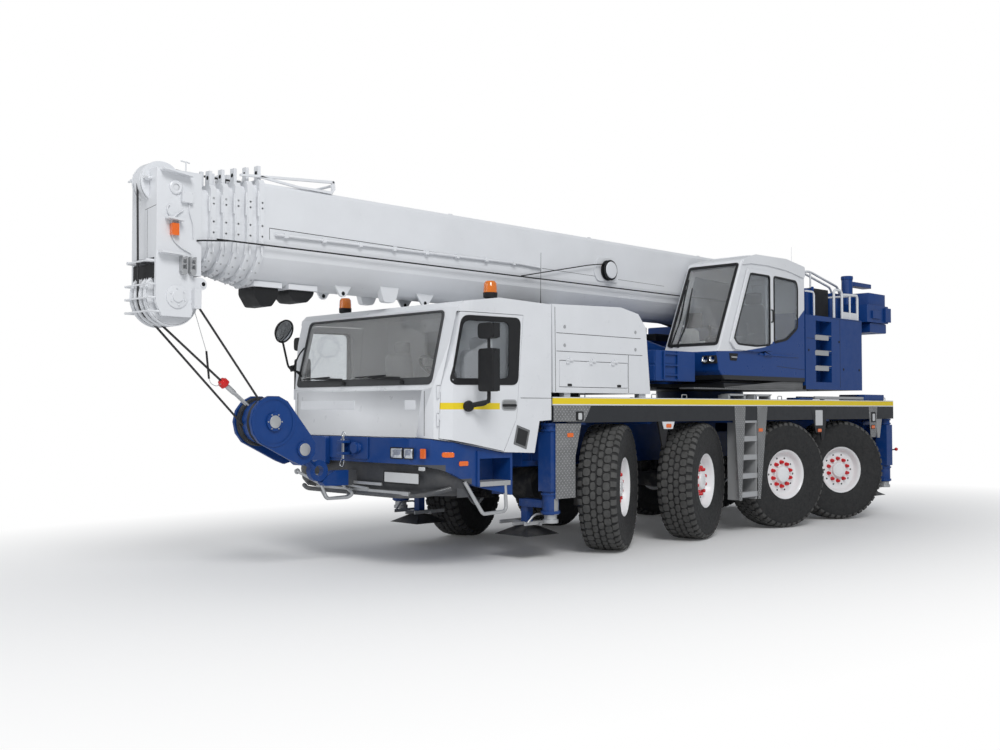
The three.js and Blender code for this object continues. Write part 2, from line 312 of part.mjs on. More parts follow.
// ---- boom: base, five telescoping sections, head ----
const boomProfile = (o) => {
  const h = BOOM_HALF - o, top = BOOM_TOP - o, bot = BOOM_BOT + o, mid = bot + (top - bot) * 0.42, n = 8, pts = [[-h + 30, top], [-h, top - 40], [-h, mid]];
  for (let k = 1; k < n; k++) { const a = Math.PI * k / n; pts.push([-h * Math.cos(a), mid - (mid - bot) * Math.sin(a)]); }
  pts.push([h, mid], [h, top - 40], [h - 30, top]);
  return pts.reverse();
};
const tube = (x0, x1, o, wall) => prismX(boomProfile(o), x0, x1, [boomProfile(o + wall).reverse()]);
{
  const inHole = SECTION_STEP - FIT;                                   // collar bore follows the next section
  const collar = (x1, o) => prismX(boomProfile(o - 22), x1 - 60, x1, [boomProfile(o + inHole).reverse()]);
  const tabs = (x1, o) => [box(x1 - 50, x1 - 20, -h0(o), -h0(o) + 70, BOOM_TOP - o, BOOM_TOP - o + 160), box(x1 - 50, x1 - 20, h0(o) - 70, h0(o), BOOM_TOP - o, BOOM_TOP - o + 160)];
  const h0 = o => BOOM_HALF - o - 40;
  let base = add(tube(-4900, BOOM_NOSE, 0, SECTION_WALL), prismX(boomProfile(0), -5150, -4890), collar(BOOM_NOSE, 0), ...tabs(BOOM_NOSE, 0));
  base = add(base, box(-5440, -5100, -150, 150, 2990, 3310), cylY(BOOM_PIVOT[0], BOOM_PIVOT[1], 160, -371.6, 371.6, 24), cylY(BOOM_PIVOT[0], BOOM_PIVOT[1], 60, -450, 450, 24));
  for (const k of [1, -1]) base = add(base, prismY([[-1000, 2950], [-880, 2620], [-620, 2620], [-500, 2950]], k > 0 ? 118 : -178, k > 0 ? 178 : -118));
  for (const k of [1, -1]) base = add(base, cylY(LUFF_E[0], LUFF_E[1], 62, k > 0 ? 170 : -192, k > 0 ? 192 : -170, 16));   // pin heads outside the lugs
  base = cut(base, prismX(boomProfile(SECTION_WALL + 0), -4890, BOOM_NOSE - 61), prismX(boomProfile(inHole), BOOM_NOSE - 100, BOOM_NOSE + 10));
  node('boom_base', base, WHITE, 0.4, 0.05);
  for (let i = 1; i <= SECTIONS; i++) {
    const o = i * SECTION_STEP, x0 = -4800 + 40 * i, x1 = BOOM_NOSE + SECTION_PITCH * i;
    if (i < SECTIONS) {
      node(`boom_section_${i}`, add(tube(x0, x1, o, SECTION_WALL), collar(x1, o), ...tabs(x1, o)), WHITE, 0.4, 0.05);
    } else {
      let head = add(
        box(HEAD_X0, HEAD_X1, -HEAD_HALF, HEAD_HALF, 2820, 3760),
        prismY([[HEAD_X0 + 80, 2830], [HEAD_X0 + 60, 2560], [SHEAVE_X - 140, SHEAVE_Z - 180], [SHEAVE_X + 140, SHEAVE_Z - 180], [HEAD_X1, 2560], [HEAD_X1, 2830]], -HEAD_HALF, HEAD_HALF),
        cylY(4930, 3650, 200, -60, 60, 20));
      head = cut(head, box(HEAD_X0 + 20, HEAD_X1 + 20, -HEAD_HALF + 40, HEAD_HALF - 40, 2300, 2960), box(HEAD_X0 + 20, HEAD_X1 - 20, -HEAD_HALF + 40, HEAD_HALF - 40, 2900, 3560));
      head = add(head, cylY(SHEAVE_X, SHEAVE_Z, 60, -HEAD_HALF, HEAD_HALF, 20));
      node('boom_section_5', add(tube(x0, HEAD_X0 + 20, o, SECTION_WALL), head), WHITE, 0.4, 0.05);
    }
  }
  const y0 = -HEAD_HALF + 40 + FIT, y1 = HEAD_HALF - 40 - FIT;
  let pack = cylY(SHEAVE_X, SHEAVE_Z, 120, y0, y1, 16);
  for (const y of [-130, -45, 45, 130]) pack = add(pack, cylY(SHEAVE_X, SHEAVE_Z, SHEAVE_R, y - 22, y + 22, 20));
  node('head_sheaves', cut(pack, cylY(SHEAVE_X, SHEAVE_Z, bore(60), y0 - 5, y1 + 5, 24)), '#d9dbdd', 0.5, 0.2);
}

// ---- luffing cylinder ----
{
  const d = [LUFF_E[0] - LUFF_B[0], LUFF_E[1] - LUFF_B[1]], L = Math.hypot(...d), u = [d[0] / L, d[1] / L];
  const at = t => [LUFF_B[0] + u[0] * t, 0, LUFF_B[1] + u[1] * t];
  let barrel = add(rod(at(220), at(L - 330), LUFF_R, 18), rod(at(60), at(240), 90, 12), cylY(LUFF_B[0], LUFF_B[1], 110, -122, 122, 16));
  barrel = cut(barrel, cylY(LUFF_B[0], LUFF_B[1], bore(60), -150, 150, 24), rod(at(300), at(L), LUFF_ROD + FIT, 20));
  node('luff_barrel', barrel, BLUE, 0.4, 0.15);
  let r = add(rod(at(320), at(L - 60), LUFF_ROD, 20), cylY(LUFF_E[0], LUFF_E[1], 100, -115, 115, 24));
  node('luff_rod', r, '#c9ccd0', 0.2, 0.9);
}

// ---- hoist winch ----
node('winch', add(cylY(-5960, 2480, 190, -371.6, 371.6, 16), cylY(-5960, 2480, 270, -350, -325, 20), cylY(-5960, 2480, 270, 325, 350, 20)), BLUE, 0.5, 0.2);

// ---- rear counterweight ----
{
  const c = add(box(-6850, -6150, -1250, 1250, 2960, 3230), box(-6850, -6300, -1200, 1200, 3220, 3420), box(-6300, -5750 - 12, -300, 300, 3060, 3200), box(-6700, -6350, -1100, 1100, 2800, 2970),
    cylZ(-6230, 880, 85, 3200, 3640, 16), cylZ(-6230, -880, 85, 3200, 3640, 16), box(-6300, -6160, -300, 300, 2790 + FIT, 3000), box(-6290, -6200, 372, 425, 2790 + FIT, 3000), box(-6290, -6200, -425, -372, 2790 + FIT, 3000));
  node('counterweight', c, BLUE, 0.45, 0.1);
}

// ---- hook block, stowed on its tie at the nose ----
{
  const a = 38.7;
  const slab = (r1, r2, l, y0, y1) => { const p = []; for (let k = 0; k <= 7; k++) { const t = Math.PI / 2 - Math.PI * k / 7; p.push([l / 2 + r1 * Math.cos(t), r1 * Math.sin(t)]); } for (let k = 0; k <= 5; k++) { const t = -Math.PI / 2 - Math.PI * k / 5; p.push([-l / 2 + r2 * Math.cos(t), r2 * Math.sin(t)]); } return prismY(p, y0, y1); };
  let h = add(slab(HOOK_R, 165, 420, 130, 165), slab(HOOK_R, 165, 420, -165, -130), cylY(210, 0, HOOK_R - 40, -70, 70, 18), cylY(210, 0, 90, -190, 190, 12), cylY(-230, 0, 80, -190, 190, 12), box(-380, -180, -100, 100, -90, 90));
  h = add(h, rod([-360, 0, 0], [-520, 0, 0], 45, 8), cylY(-590, 0, 110, -35, 35, 14));
  h = cut(h, cylY(-590, 0, 55, -60, 60, 10));
  node('hook_block', h.rotate([0, -a, 0]).translate([HOOK_C[0], 0, HOOK_C[1]]), BLUE, 0.45, 0.1);
}

export default group;
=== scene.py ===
import math
import bmesh
import bpy
import numpy as np
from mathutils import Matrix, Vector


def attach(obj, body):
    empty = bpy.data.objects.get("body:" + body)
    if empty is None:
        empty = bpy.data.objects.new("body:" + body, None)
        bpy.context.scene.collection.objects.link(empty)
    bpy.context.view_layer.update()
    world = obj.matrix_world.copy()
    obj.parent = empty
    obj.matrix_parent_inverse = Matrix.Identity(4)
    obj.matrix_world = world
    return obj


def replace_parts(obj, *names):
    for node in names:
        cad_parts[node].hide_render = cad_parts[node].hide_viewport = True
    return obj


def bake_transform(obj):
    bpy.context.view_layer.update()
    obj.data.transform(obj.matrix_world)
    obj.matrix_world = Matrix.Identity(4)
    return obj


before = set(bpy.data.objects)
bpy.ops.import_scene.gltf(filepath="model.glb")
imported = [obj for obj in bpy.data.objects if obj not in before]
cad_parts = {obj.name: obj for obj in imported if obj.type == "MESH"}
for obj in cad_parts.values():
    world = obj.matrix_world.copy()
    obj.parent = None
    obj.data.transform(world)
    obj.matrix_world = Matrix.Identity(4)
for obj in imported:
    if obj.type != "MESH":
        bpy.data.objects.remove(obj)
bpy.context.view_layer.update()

# ---- Carrier frame ----
# Two welded plate rails with cross members, the pedestal under the slewing ring and
# the cross boxes of the outriggers, primed and sprayed in blue enamel as one weldment.
FRONT_AXLE = 0.890          # the first axle stands this far ahead of the origin; lengths below run from it
BLUE = (0.006, 0.048, 0.215)
WHITE = (0.76, 0.775, 0.8)


def wires(material):
    """The node tree, its shader and its Object coordinates, ready to be wired."""
    material.use_nodes = True
    tree = material.node_tree
    where = tree.nodes.new("ShaderNodeTexCoord")
    return tree, tree.nodes["Principled BSDF"], where.outputs["Object"]


def cloud(tree, where, scale, detail=5.0, rough=0.55):
    """Fractal noise over the coordinates: sums of smooth bumps, each finer and fainter."""
    n = tree.nodes.new("ShaderNodeTexNoise")
    n.inputs["Scale"].default_value = scale
    n.inputs["Detail"].default_value = detail
    n.inputs["Roughness"].default_value = rough
    tree.links.new(where, n.inputs["Vector"])
    return n.outputs["Fac"]


def spread(tree, value, a, b, c, d):
    """Straight-line map that takes a..b to c..d and stops at the ends."""
    n = tree.nodes.new("ShaderNodeMapRange")
    for socket, v in zip(("From Min", "From Max", "To Min", "To Max"), (a, b, c, d)):
        n.inputs[socket].default_value = v
    tree.links.new(value, n.inputs["Value"])
    return n.outputs["Result"]


def sums(tree, kind, a, b=None, c=None):
    """One Math node on numbers or sockets."""
    n = tree.nodes.new("ShaderNodeMath")
    n.operation = kind
    for i, v in enumerate((a, b, c)):
        if v is None:
            continue
        if isinstance(v, (int, float)):
            n.inputs[i].default_value = v
        else:
            tree.links.new(v, n.inputs[i])
    return n.outputs[0]


def tinted(tree, factor, a, b):
    """Colour a where the factor is zero, b where it is one, a straight blend between."""
    n = tree.nodes.new("ShaderNodeMix")
    n.data_type = "RGBA"
    tree.links.new(factor, n.inputs["Factor"])
    for socket, v in ((n.inputs[6], a), (n.inputs[7], b)):
        if isinstance(v, tuple):
            socket.default_value = (*v, 1.0)
        else:
            tree.links.new(v, socket)
    return n.outputs[2]


def embossed(tree, shader, height, strength, depth):
    """Bump from a height field, depth in metres."""
    n = tree.nodes.new("ShaderNodeBump")
    n.inputs["Strength"].default_value = strength
    n.inputs["Distance"].default_value = depth
    tree.links.new(height, n.inputs["Height"])
    tree.links.new(n.outputs["Normal"], shader.inputs["Normal"])


def inside(tree, where, limits):
    """One inside the box of limits, zero outside: a product of steps along each direction."""
    parts = tree.nodes.new("ShaderNodeSeparateXYZ")
    tree.links.new(where, parts.inputs[0])
    total = None
    for axis, (low, high) in limits.items():
        side = parts.outputs["xyz".index(axis)]
        shift = FRONT_AXLE if axis == "x" else 0.0
        step = sums(tree, "MULTIPLY", sums(tree, "GREATER_THAN", side, low + shift),
            sums(tree, "LESS_THAN", side, high + shift))
        total = step if total is None else sums(tree, "MULTIPLY", total, step)
    return total


def enamel(name, colour, rough=0.3, grime=0.35, coat=0.35, zones=(), metal=0.0, dust=(0.3, 0.28, 0.25)):
    """Sprayed paint: faint cloudy tone, road dust that thins out with height, fine orange peel, streaky
    gloss."""
    m = bpy.data.materials.new(name)
    tree, shader, where = wires(m)
    tone = cloud(tree, where, 1.7, 5.0, 0.6)
    shade = tuple(c * 0.95 for c in colour)
    base = tinted(tree, spread(tree, tone, 0.35, 0.65, 0.0, 1.0), colour, shade)
    for tint, limits in zones:
        base = tinted(tree, inside(tree, where, limits), base, tint)
    parts = tree.nodes.new("ShaderNodeSeparateXYZ")
    tree.links.new(where, parts.inputs[0])
    low = spread(tree, parts.outputs["Z"], 0.25, 1.55, 1.0, 0.1)
    splash = spread(tree, cloud(tree, where, 5.5, 8.0, 0.68), 0.46, 0.78, 0.0, grime)
    base = tinted(tree, sums(tree, "MULTIPLY", low, splash), base, dust)
    tree.links.new(base, shader.inputs["Base Color"])
    tree.links.new(spread(tree, cloud(tree, where, 9.0, 6.0, 0.6), 0.3, 0.7, rough - 0.05, rough + 0.12),
        shader.inputs["Roughness"])
    shader.inputs["Metallic"].default_value = metal
    shader.inputs["Coat Weight"].default_value = coat
    shader.inputs["Specular IOR Level"].default_value = 0.3
    shader.inputs["Coat Roughness"].default_value = 0.12
    embossed(tree, shader, cloud(tree, where, 260.0, 2.0, 0.5), 0.06, 0.0006)
    return m


def shaded(obj, finish, body, edge, sharp, rings=2):
    """Finish, soft shading up to the sharp angle, rounded edges, and the body it moves with."""
    obj.data.materials.clear()
    obj.data.materials.append(finish)
    obj.data.shade_smooth()
    obj.data.set_sharp_from_angle(angle=math.radians(sharp))
    if edge:
        b = obj.modifiers.new("edge", "BEVEL")
        b.width, b.segments, b.limit_method, b.angle_limit = edge, rings, "ANGLE", math.radians(28)
        b.harden_normals = True
    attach(obj, body)
    return obj


def softened(node, body, finish, edge, sharp=32):
    """The CAD piece's own mesh, merged, its flat facets joined and its edges rounded."""
    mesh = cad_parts[node].data.copy()
    work = bmesh.new()
    work.from_mesh(mesh)
    bmesh.ops.remove_doubles(work, verts=work.verts, dist=2e-5)
    bmesh.ops.dissolve_limit(work, angle_limit=math.radians(0.6), verts=work.verts, edges=work.edges)
    work.to_mesh(mesh)
    work.free()
    obj = bpy.data.objects.new(node + "_skin", mesh)
    bpy.context.scene.collection.objects.link(obj)
    shaded(obj, finish, body, edge, sharp)
    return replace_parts(obj, node)


blue_paint = enamel("blue_enamel", BLUE, 0.34, 0.12, 0.1)
softened("chassis_frame", "carrier", blue_paint, 0.006)

# ---- Axles and knuckles ----
# Cast beams with a differential bowl in the middle and steel knuckles on kingpins,
# in satin black that dulls with road dust.
black_iron = enamel("black_iron", (0.03, 0.032, 0.036), 0.55, 0.75, 0.0)
softened("axles", "carrier", black_iron, 0.008)
for n in range(1, 5):
    for side in "lr":
        softened(f"knuckle_{n}{side}", f"steer_{n}{side}", black_iron, 0.006)

# ---- Tyres ----
# Wide single tyres with staggered eight-sided blocks over the crown and square shoulder
# lugs, moulded in carbon-black rubber; each one is built round its own steered axis.
TYRE_R, KING_Y, WHEEL_OUT = 0.725, 0.95, 0.2025
AXLES = (0.0, -1.64, -3.72, -5.39)
STEERED = {"l": (28.0, 17.0, -14.5, -27.0), "r": (20.6, 12.5, -10.7, -19.9)}


def grid(nu, nv, ring_u=False, ring_v=False):
    """Faces of a sheet of nu by nv points: each cell joins a point to its next both ways; a ring closes
    that way round."""
    a, b = np.meshgrid(np.arange(nu if ring_u else nu - 1), np.arange(nv if ring_v else nv - 1),
        indexing="ij")
    c, d = (a + 1) % nu, (b + 1) % nv
    return np.stack([a * nv + b, c * nv + b, c * nv + d, a * nv + d], -1).reshape(-1, 4).tolist()


def joined(*forms):
    """Several forms as one: points stacked, face numbers moved on by the points before."""
    points, faces, n = [], [], 0
    for p, f in forms:
        points.append(np.asarray(p, float))
        faces += [[i + n for i in face] for face in f]
        n += len(p)
    return np.concatenate(points), faces


def made(name, form, finish, body, edge=0.0, sharp=35, rings=2):
    """A new piece from one form or a list, merged at its seams, facing outwards, placed from the front
    axle."""
    points, faces = joined(*form) if isinstance(form, list) else form
    mesh = bpy.data.meshes.new(name)
    mesh.from_pydata((points + np.array([FRONT_AXLE, 0, 0])).tolist(), [], faces)
    work = bmesh.new()
    work.from_mesh(mesh)
    bmesh.ops.remove_doubles(work, verts=work.verts, dist=1e-5)
    bmesh.ops.recalc_face_normals(work, faces=work.faces)
    work.to_mesh(mesh)
    work.free()
    obj = bpy.data.objects.new(name, mesh)
    bpy.context.scene.collection.objects.link(obj)
    return shaded(obj, finish, body, edge, sharp, rings)


def at_wheel(form, n, side):
    """Wheel coordinates (y along the axle, outwards positive) turned by the steering and set on the
    kingpin."""
    points, faces = form
    out = 1.0 if side == "l" else -1.0
    turn = math.radians(STEERED[side][n])
    x, y, z = points[:, 0] * out, points[:, 1] * out + out * WHEEL_OUT, points[:, 2]
    return np.stack([x * math.cos(turn) - y * math.sin(turn) + AXLES[n],
            x * math.sin(turn) + y * math.cos(turn) + out * KING_Y, z + TYRE_R], 1), faces


def all_round(count):
    """Angles in equal steps, once round."""
    return np.linspace(0, 2 * np.pi, count, endpoint=False)


def ring_of(profile, sides):
    """A profile of (radius, height) carried round the axle: x = r sin a, z = r cos a, y = height."""
    p = np.asarray(profile, float)
    a = all_round(sides)[:, None]
    return np.stack([p[:, 0] * np.sin(a), p[:, 1] + 0 * a, p[:, 0] * np.cos(a)], -1).reshape(-1,
        3), grid(sides, len(p), True, False)


def tread_blocks(rows, count, deep=0.02):
    """Eight-sided blocks: a square with its corners cut, wrapped on the crown, the foot a little larger and
    deeper; every second row is shifted by half a pitch. The outline runs along the roll, then across."""
    pitch = 2 * np.pi / count
    corners = [(1, 0.45), (0.62, 1), (-0.62, 1), (-1, 0.45)]
    outline = np.array(corners + [(-x, -y) for x, y in corners])
    forms = []
    for i, (y, half_width) in enumerate(rows):
        around = (np.arange(count) + (i % 2) * 0.5) * pitch
        crown = TYRE_R - 0.0006 - 0.35 * y * y
        top = outline * [0.0445, half_width]
        layer = []
        for shape, r in ((top * 1.05, crown - deep), (top, crown - 0.002), (top * 0.95, crown)):
            a = around[:, None] + shape[None, :, 0] / TYRE_R
            layer.append(np.stack([r * np.sin(a), y + shape[None, :, 1] + 0 * a, r * np.cos(a)], -1))
        points = np.stack(layer, 1).reshape(-1, 3)
        base = (np.arange(count) * 24)[:, None, None]
        k = np.arange(8)
        wall = np.stack([(k + 1) % 8, k, k + 8, (k + 1) % 8 + 8], 1)[None]
        faces = np.concatenate([base + wall, base + wall + 8], 1).reshape(-1, 4).tolist()
        faces += (np.arange(count)[:, None] * 24 + 16 + k[::-1]).tolist()
        faces += (np.arange(count)[:, None] * 24 + k).tolist()
        forms.append((points, faces))
    return joined(*forms)


def shoulder_lugs(count, side):
    """Square lugs over each shoulder: a six-point section carried a short way round, one lug per pitch."""
    drop = [(0.0095, 0.159), (0.0125, 0.184), (0.03, 0.2095), (0.058, 0.218), (0.062, 0.205),
        (0.035, 0.159)]
    section = np.array([(TYRE_R - down, y) for down, y in drop])
    a = ((np.arange(count) + 0.25) * 2 * np.pi / count)[:, None, None] + np.array([-1, 1])[None, :,
        None] * 0.043
    points = np.stack([section[:, 0] * np.sin(a), side * section[:, 1] + 0 * a, section[:, 0] * np.cos(a)],
        -1).reshape(-1, 3)
    k = np.arange(6)
    wall = np.stack([k, (k + 1) % 6, (k + 1) % 6 + 6, k + 6], 1)[None]
    base = np.arange(count) * 12
    faces = (base[:, None, None] + wall).reshape(-1, 4).tolist()
    faces += (base[:, None] + k[::-1]).tolist() + (base[:, None] + 6 + k).tolist()
    return points, faces


def rubber_of(name, patches, dull, worn, gloss, bump):
    """Moulded rubber: a coarse noise blends two tones, a second one the gloss, and a fine one pits the
    surface."""
    m = bpy.data.materials.new(name)
    tree, shader, where = wires(m)
    scale, detail, rough, high = patches
    wear = spread(tree, cloud(tree, where, scale, detail, rough), 0.35, high, 0.0, 1.0)
    tree.links.new(tinted(tree, wear, dull, worn), shader.inputs["Base Color"])
    tree.links.new(spread(tree, cloud(tree, where, 40.0), 0.3, 0.7, *gloss), shader.inputs["Roughness"])
    embossed(tree, shader, cloud(tree, where, 180.0, 6.0, 0.7), *bump)
    return m


rubber = rubber_of("tyre_rubber", (14.0, 8.0, 0.65, 0.75), (0.013, 0.0135, 0.0145), (0.027, 0.027, 0.027),
    (0.62, 0.85), (0.35, 0.0012))
# Tread blocks: the casing's rubber painted about four times lighter, partly for wear and dust on the tread
# and partly as a painted highlight where light catches the block tops.
tread_wear_and_highlight = rubber_of("tread_wear_and_highlight", (11.0, 7.0, 0.62, 0.72), (0.058, 0.058, 0.057), (0.094, 0.093, 0.09),
    (0.72, 0.9), (0.3, 0.001))
half = [(0.318, 0.16), (0.33, 0.178), (0.345, 0.186), (0.352, 0.1835), (0.366, 0.19), (0.4, 0.203),
    (0.45, 0.214), (0.5, 0.219), (0.54, 0.2205), (0.546, 0.2222), (0.556, 0.2222), (0.562, 0.2205),
    (0.6, 0.2195), (0.64, 0.2165), (0.664, 0.2105), (0.684, 0.198), (0.696, 0.178), (0.703, 0.15),
    (0.7045, 0.1), (0.705, 0.045)]
carcass = half + [(r, -y) for r, y in half[::-1]]
carcass += [(0.318, -0.05), (0.318, 0.05)]
casing = ring_of(carcass, 120)[0], grid(120, len(carcass), True, True)
tread = joined(tread_blocks(((-0.112, 0.037), (-0.0355, 0.0265), (0.0355, 0.0265), (0.112, 0.037)), 44),
    shoulder_lugs(44, 1), shoulder_lugs(44, -1))
for n in range(4):
    for side in "lr":
        body = f"wheel_{n + 1}{side}"
        made(f"tyre_{n + 1}{side}_tread", at_wheel(tread, n, side), tread_wear_and_highlight, body, sharp=38)
        tyre = made(f"tyre_{n + 1}{side}_body", at_wheel(casing, n, side), rubber, body, sharp=38)
        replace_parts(tyre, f"tyre_{n + 1}{side}")

# ---- Rims, hubs and nut caps ----
# Pressed white disc wheels on planetary hubs; ten studs, each nut under a red cap,
# with a ring of small cooling holes outside them.
rim_paint = enamel("rim_enamel", (0.86, 0.865, 0.875), 0.34, 0.06, 0.2)
cap_red = enamel("nut_cap_red", (0.62, 0.012, 0.018), 0.3, 0.1, 0.3)
# Black discs and plugs set in holes and eyes: painted shade standing in for the dark inside each hole.
hole_shade = enamel("hole_shade", (0.006, 0.006, 0.007), 0.7, 0.0, 0.0)
rim_profile = [(0.0, 0.04), (0.286, 0.04), (0.29, -0.17), (0.3, -0.178), (0.3365, -0.18), (0.3372, -0.174),
    (0.318, -0.163), (0.31, -0.1), (0.3, -0.02), (0.3, 0.06), (0.31, 0.12), (0.3172, 0.16), (0.333, 0.168),
    (0.3372, 0.175), (0.3355, 0.181), (0.33, 0.1815), (0.322, 0.174), (0.306, 0.16), (0.299, 0.14),
    (0.288, 0.098), (0.28, 0.084), (0.262, 0.078), (0.238, 0.082), (0.205, 0.086), (0.15, 0.084),
    (0.137, 0.086), (0.133, 0.094), (0.128, 0.1), (0.114, 0.102), (0.111, 0.128), (0.104, 0.142),
    (0.088, 0.1475), (0.0, 0.1495)]


def caps(count, ring_r, profile, height, lead=0.0, sides=14):
    """Like turned caps set in a ring: each cap's (radius, height) profile runs round its own centre on the
    ring."""
    p = np.asarray(profile, float)
    a = (np.arange(count) + lead) * 2 * np.pi / count
    b = all_round(sides)
    forms = []
    for t in a:
        x = ring_r * np.sin(t) + p[None, :, 0] * np.sin(b)[:, None]
        z = ring_r * np.cos(t) + p[None, :, 0] * np.cos(b)[:, None]
        forms.append((np.stack([x, height + p[None, :, 1] + 0 * x, z], -1).reshape(-1, 3),
                grid(sides, len(p), True, False)))
    return joined(*forms)


disc = ring_of(rim_profile, 72)
nut_caps = caps(10, 0.164, [(0.0, 0.0), (0.0275, 0.0), (0.0275, 0.008), (0.024, 0.012), (0.0225, 0.04),
        (0.017, 0.052), (0.0, 0.055)], 0.084)
cooling_holes = caps(10, 0.222, [(0.0, 0.0), (0.0135, 0.0), (0.0135, 0.0018), (0.0, 0.0018)], 0.0832, 0.5)
hub_screws = caps(12, 0.07, [(0.0, 0.0), (0.007, 0.0), (0.007, 0.004), (0.0055, 0.006), (0.0, 0.006)],
    0.1475, 0.0, 6)
for n in range(4):
    for side in "lr":
        tag, body = f"{n + 1}{side}", f"wheel_{n + 1}{side}"
        rim = made(f"rim_{tag}_disc", at_wheel(disc, n, side), rim_paint, body, sharp=30)
        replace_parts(rim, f"rim_{tag}")
        made(f"nut_caps_{tag}", at_wheel(nut_caps, n, side), cap_red, body, sharp=40)
        # the cooling holes are black discs of painted shade on the disc face
        made(f"rim_holes_{tag}", at_wheel(cooling_holes, n, side), hole_shade, body)
        made(f"hub_screws_{tag}", at_wheel(hub_screws, n, side), rim_paint, body, sharp=30)

# ---- Deck, skirts and side ladders ----
# Folded sheet over the frame with a marker stripe on its edge and grey skirts under it;
# the ladders, brackets and plates that hang from it are raw chequered aluminium.
YELLOW = (0.82, 0.62, 0.018)
SKIRT_GREY = (0.33, 0.335, 0.34)
# Near-black: the wedge bracket's own colour, and painted shade over the CAD bracket between the first two
# axles.
BRACKET_BLACK_AND_SHADE = (0.012, 0.012, 0.014)


def lifted(flat, height, across):
    """Two-coordinate points set at a height along the third direction."""
    flat = np.asarray(flat, float)
    h = np.broadcast_to(np.asarray(height, float), (len(flat),))
    u, v = flat[:, 0], flat[:, 1]
    return np.stack({"x": (h, u, v), "y": (u, h, v), "z": (u, v, h)}[across], 1)


def panel(outline, low, high, across="y"):
    """A flat outline given thickness: one copy at the low side, one at the high side, and walls between."""
    n = len(outline)
    k = np.arange(n)
    walls = np.stack([k, (k + 1) % n, (k + 1) % n + n, k + n], 1).tolist()
    return np.concatenate([lifted(outline, low, across), lifted(outline, high, across)]), [k[::-1].tolist(),
        (k + n).tolist()] + walls


def bar(low, high):
    """A square block between two corners."""
    (a, b, c), (d, e, f) = low, high
    return panel(oblong(a, d, b, e), c, f, "z")


def oblong(left, right, low, high):
    """The four corners of a rectangle, in order round it."""
    return [(left, low), (right, low), (right, high), (left, high)]


def rounded(outline, radius, steps=5, closed=True):
    """Corners bent into arcs: near each corner the line follows (1-t)^2 start + 2t(1-t) corner + t^2 end."""
    p = np.asarray(outline, float)
    before, after = np.roll(p, 1, 0) - p, np.roll(p, -1, 0) - p
    reach = np.minimum(radius, 0.45 * np.minimum(np.linalg.norm(before, axis=1),
            np.linalg.norm(after, axis=1)))[:, None]
    a = p + before / np.linalg.norm(before, axis=1)[:, None] * reach
    b = p + after / np.linalg.norm(after, axis=1)[:, None] * reach
    t = np.linspace(0, 1, steps + 1)[None, :, None]
    arcs = (1 - t) ** 2 * a[:, None] + 2 * t * (1 - t) * p[:, None] + t ** 2 * b[:, None]
    if closed:
        return arcs.reshape(-1, p.shape[1])
    return np.concatenate([p[:1], arcs[1:-1].reshape(-1, p.shape[1]), p[-1:]])


def tube(path, radius, sides=12, ring=False):
    """A round section carried along a path: each ring's axes are the last ring's, turned with the path's
    direction."""
    p = np.asarray(path, float)
    way = np.gradient(p, axis=0) if not ring else np.roll(p, -1, 0) - np.roll(p, 1, 0)
    way /= np.linalg.norm(way, axis=1)[:, None]
    side = np.cross(way[0], [0.31, 0.17, 0.93])
    sides_of = []
    for w in way:
        side = side - w * side.dot(w)
        side = side / np.linalg.norm(side)
        sides_of.append(side)
    s = np.array(sides_of)
    up = np.cross(way, s)
    a = all_round(sides)
    r = np.broadcast_to(np.asarray(radius, float), (len(p),))[:, None, None]
    points = p[:, None] + r * (s[:, None] * np.cos(a)[None, :, None] + up[:, None]
        * np.sin(a)[None, :, None])
    faces = grid(len(p), sides, ring, True)
    if not ring:
        faces += [list(range(sides))[::-1], list(range((len(p) - 1) * sides, len(p) * sides))]
    return points.reshape(-1, 3), faces


def pipe(route, bend, steps, radius, sides=12):
    """A tube along an open route whose corners are bent to arcs."""
    return tube(rounded(route, bend, steps, False), radius, sides)


def turned(profile, centre, along=(0, 1, 0), sides=28):
    """A profile of (radius, distance) carried round the line through the centre along the given direction."""
    p = np.asarray(profile, float)
    w = np.asarray(along, float) / np.linalg.norm(along)
    u = np.cross(w, (0, 0, 1) if abs(w[2]) < 0.9 else (1, 0, 0))
    u /= np.linalg.norm(u)
    v = np.cross(w, u)
    a = all_round(sides)
    spokes_out = np.cos(a)[:, None, None] * u + np.sin(a)[:, None, None] * v
    points = np.asarray(centre, float) + p[None, :, :1] * spokes_out + p[None, :, 1:] * w
    return points.reshape(-1, 3), grid(sides, len(p), True, False)


def pin(centre, radius, low, high, along=(0, 1, 0), sides=24):
    """A plain round pin from low to high along its axis."""
    return turned(oblong(0, radius, low, high), centre, along, sides)


def both(form):
    """The form, or list of forms, and its mirror image on the machine's other side."""
    points, faces = joined(*form) if isinstance(form, list) else form
    return joined((points, faces), (points * [1, -1, 1], [f[::-1] for f in faces]))


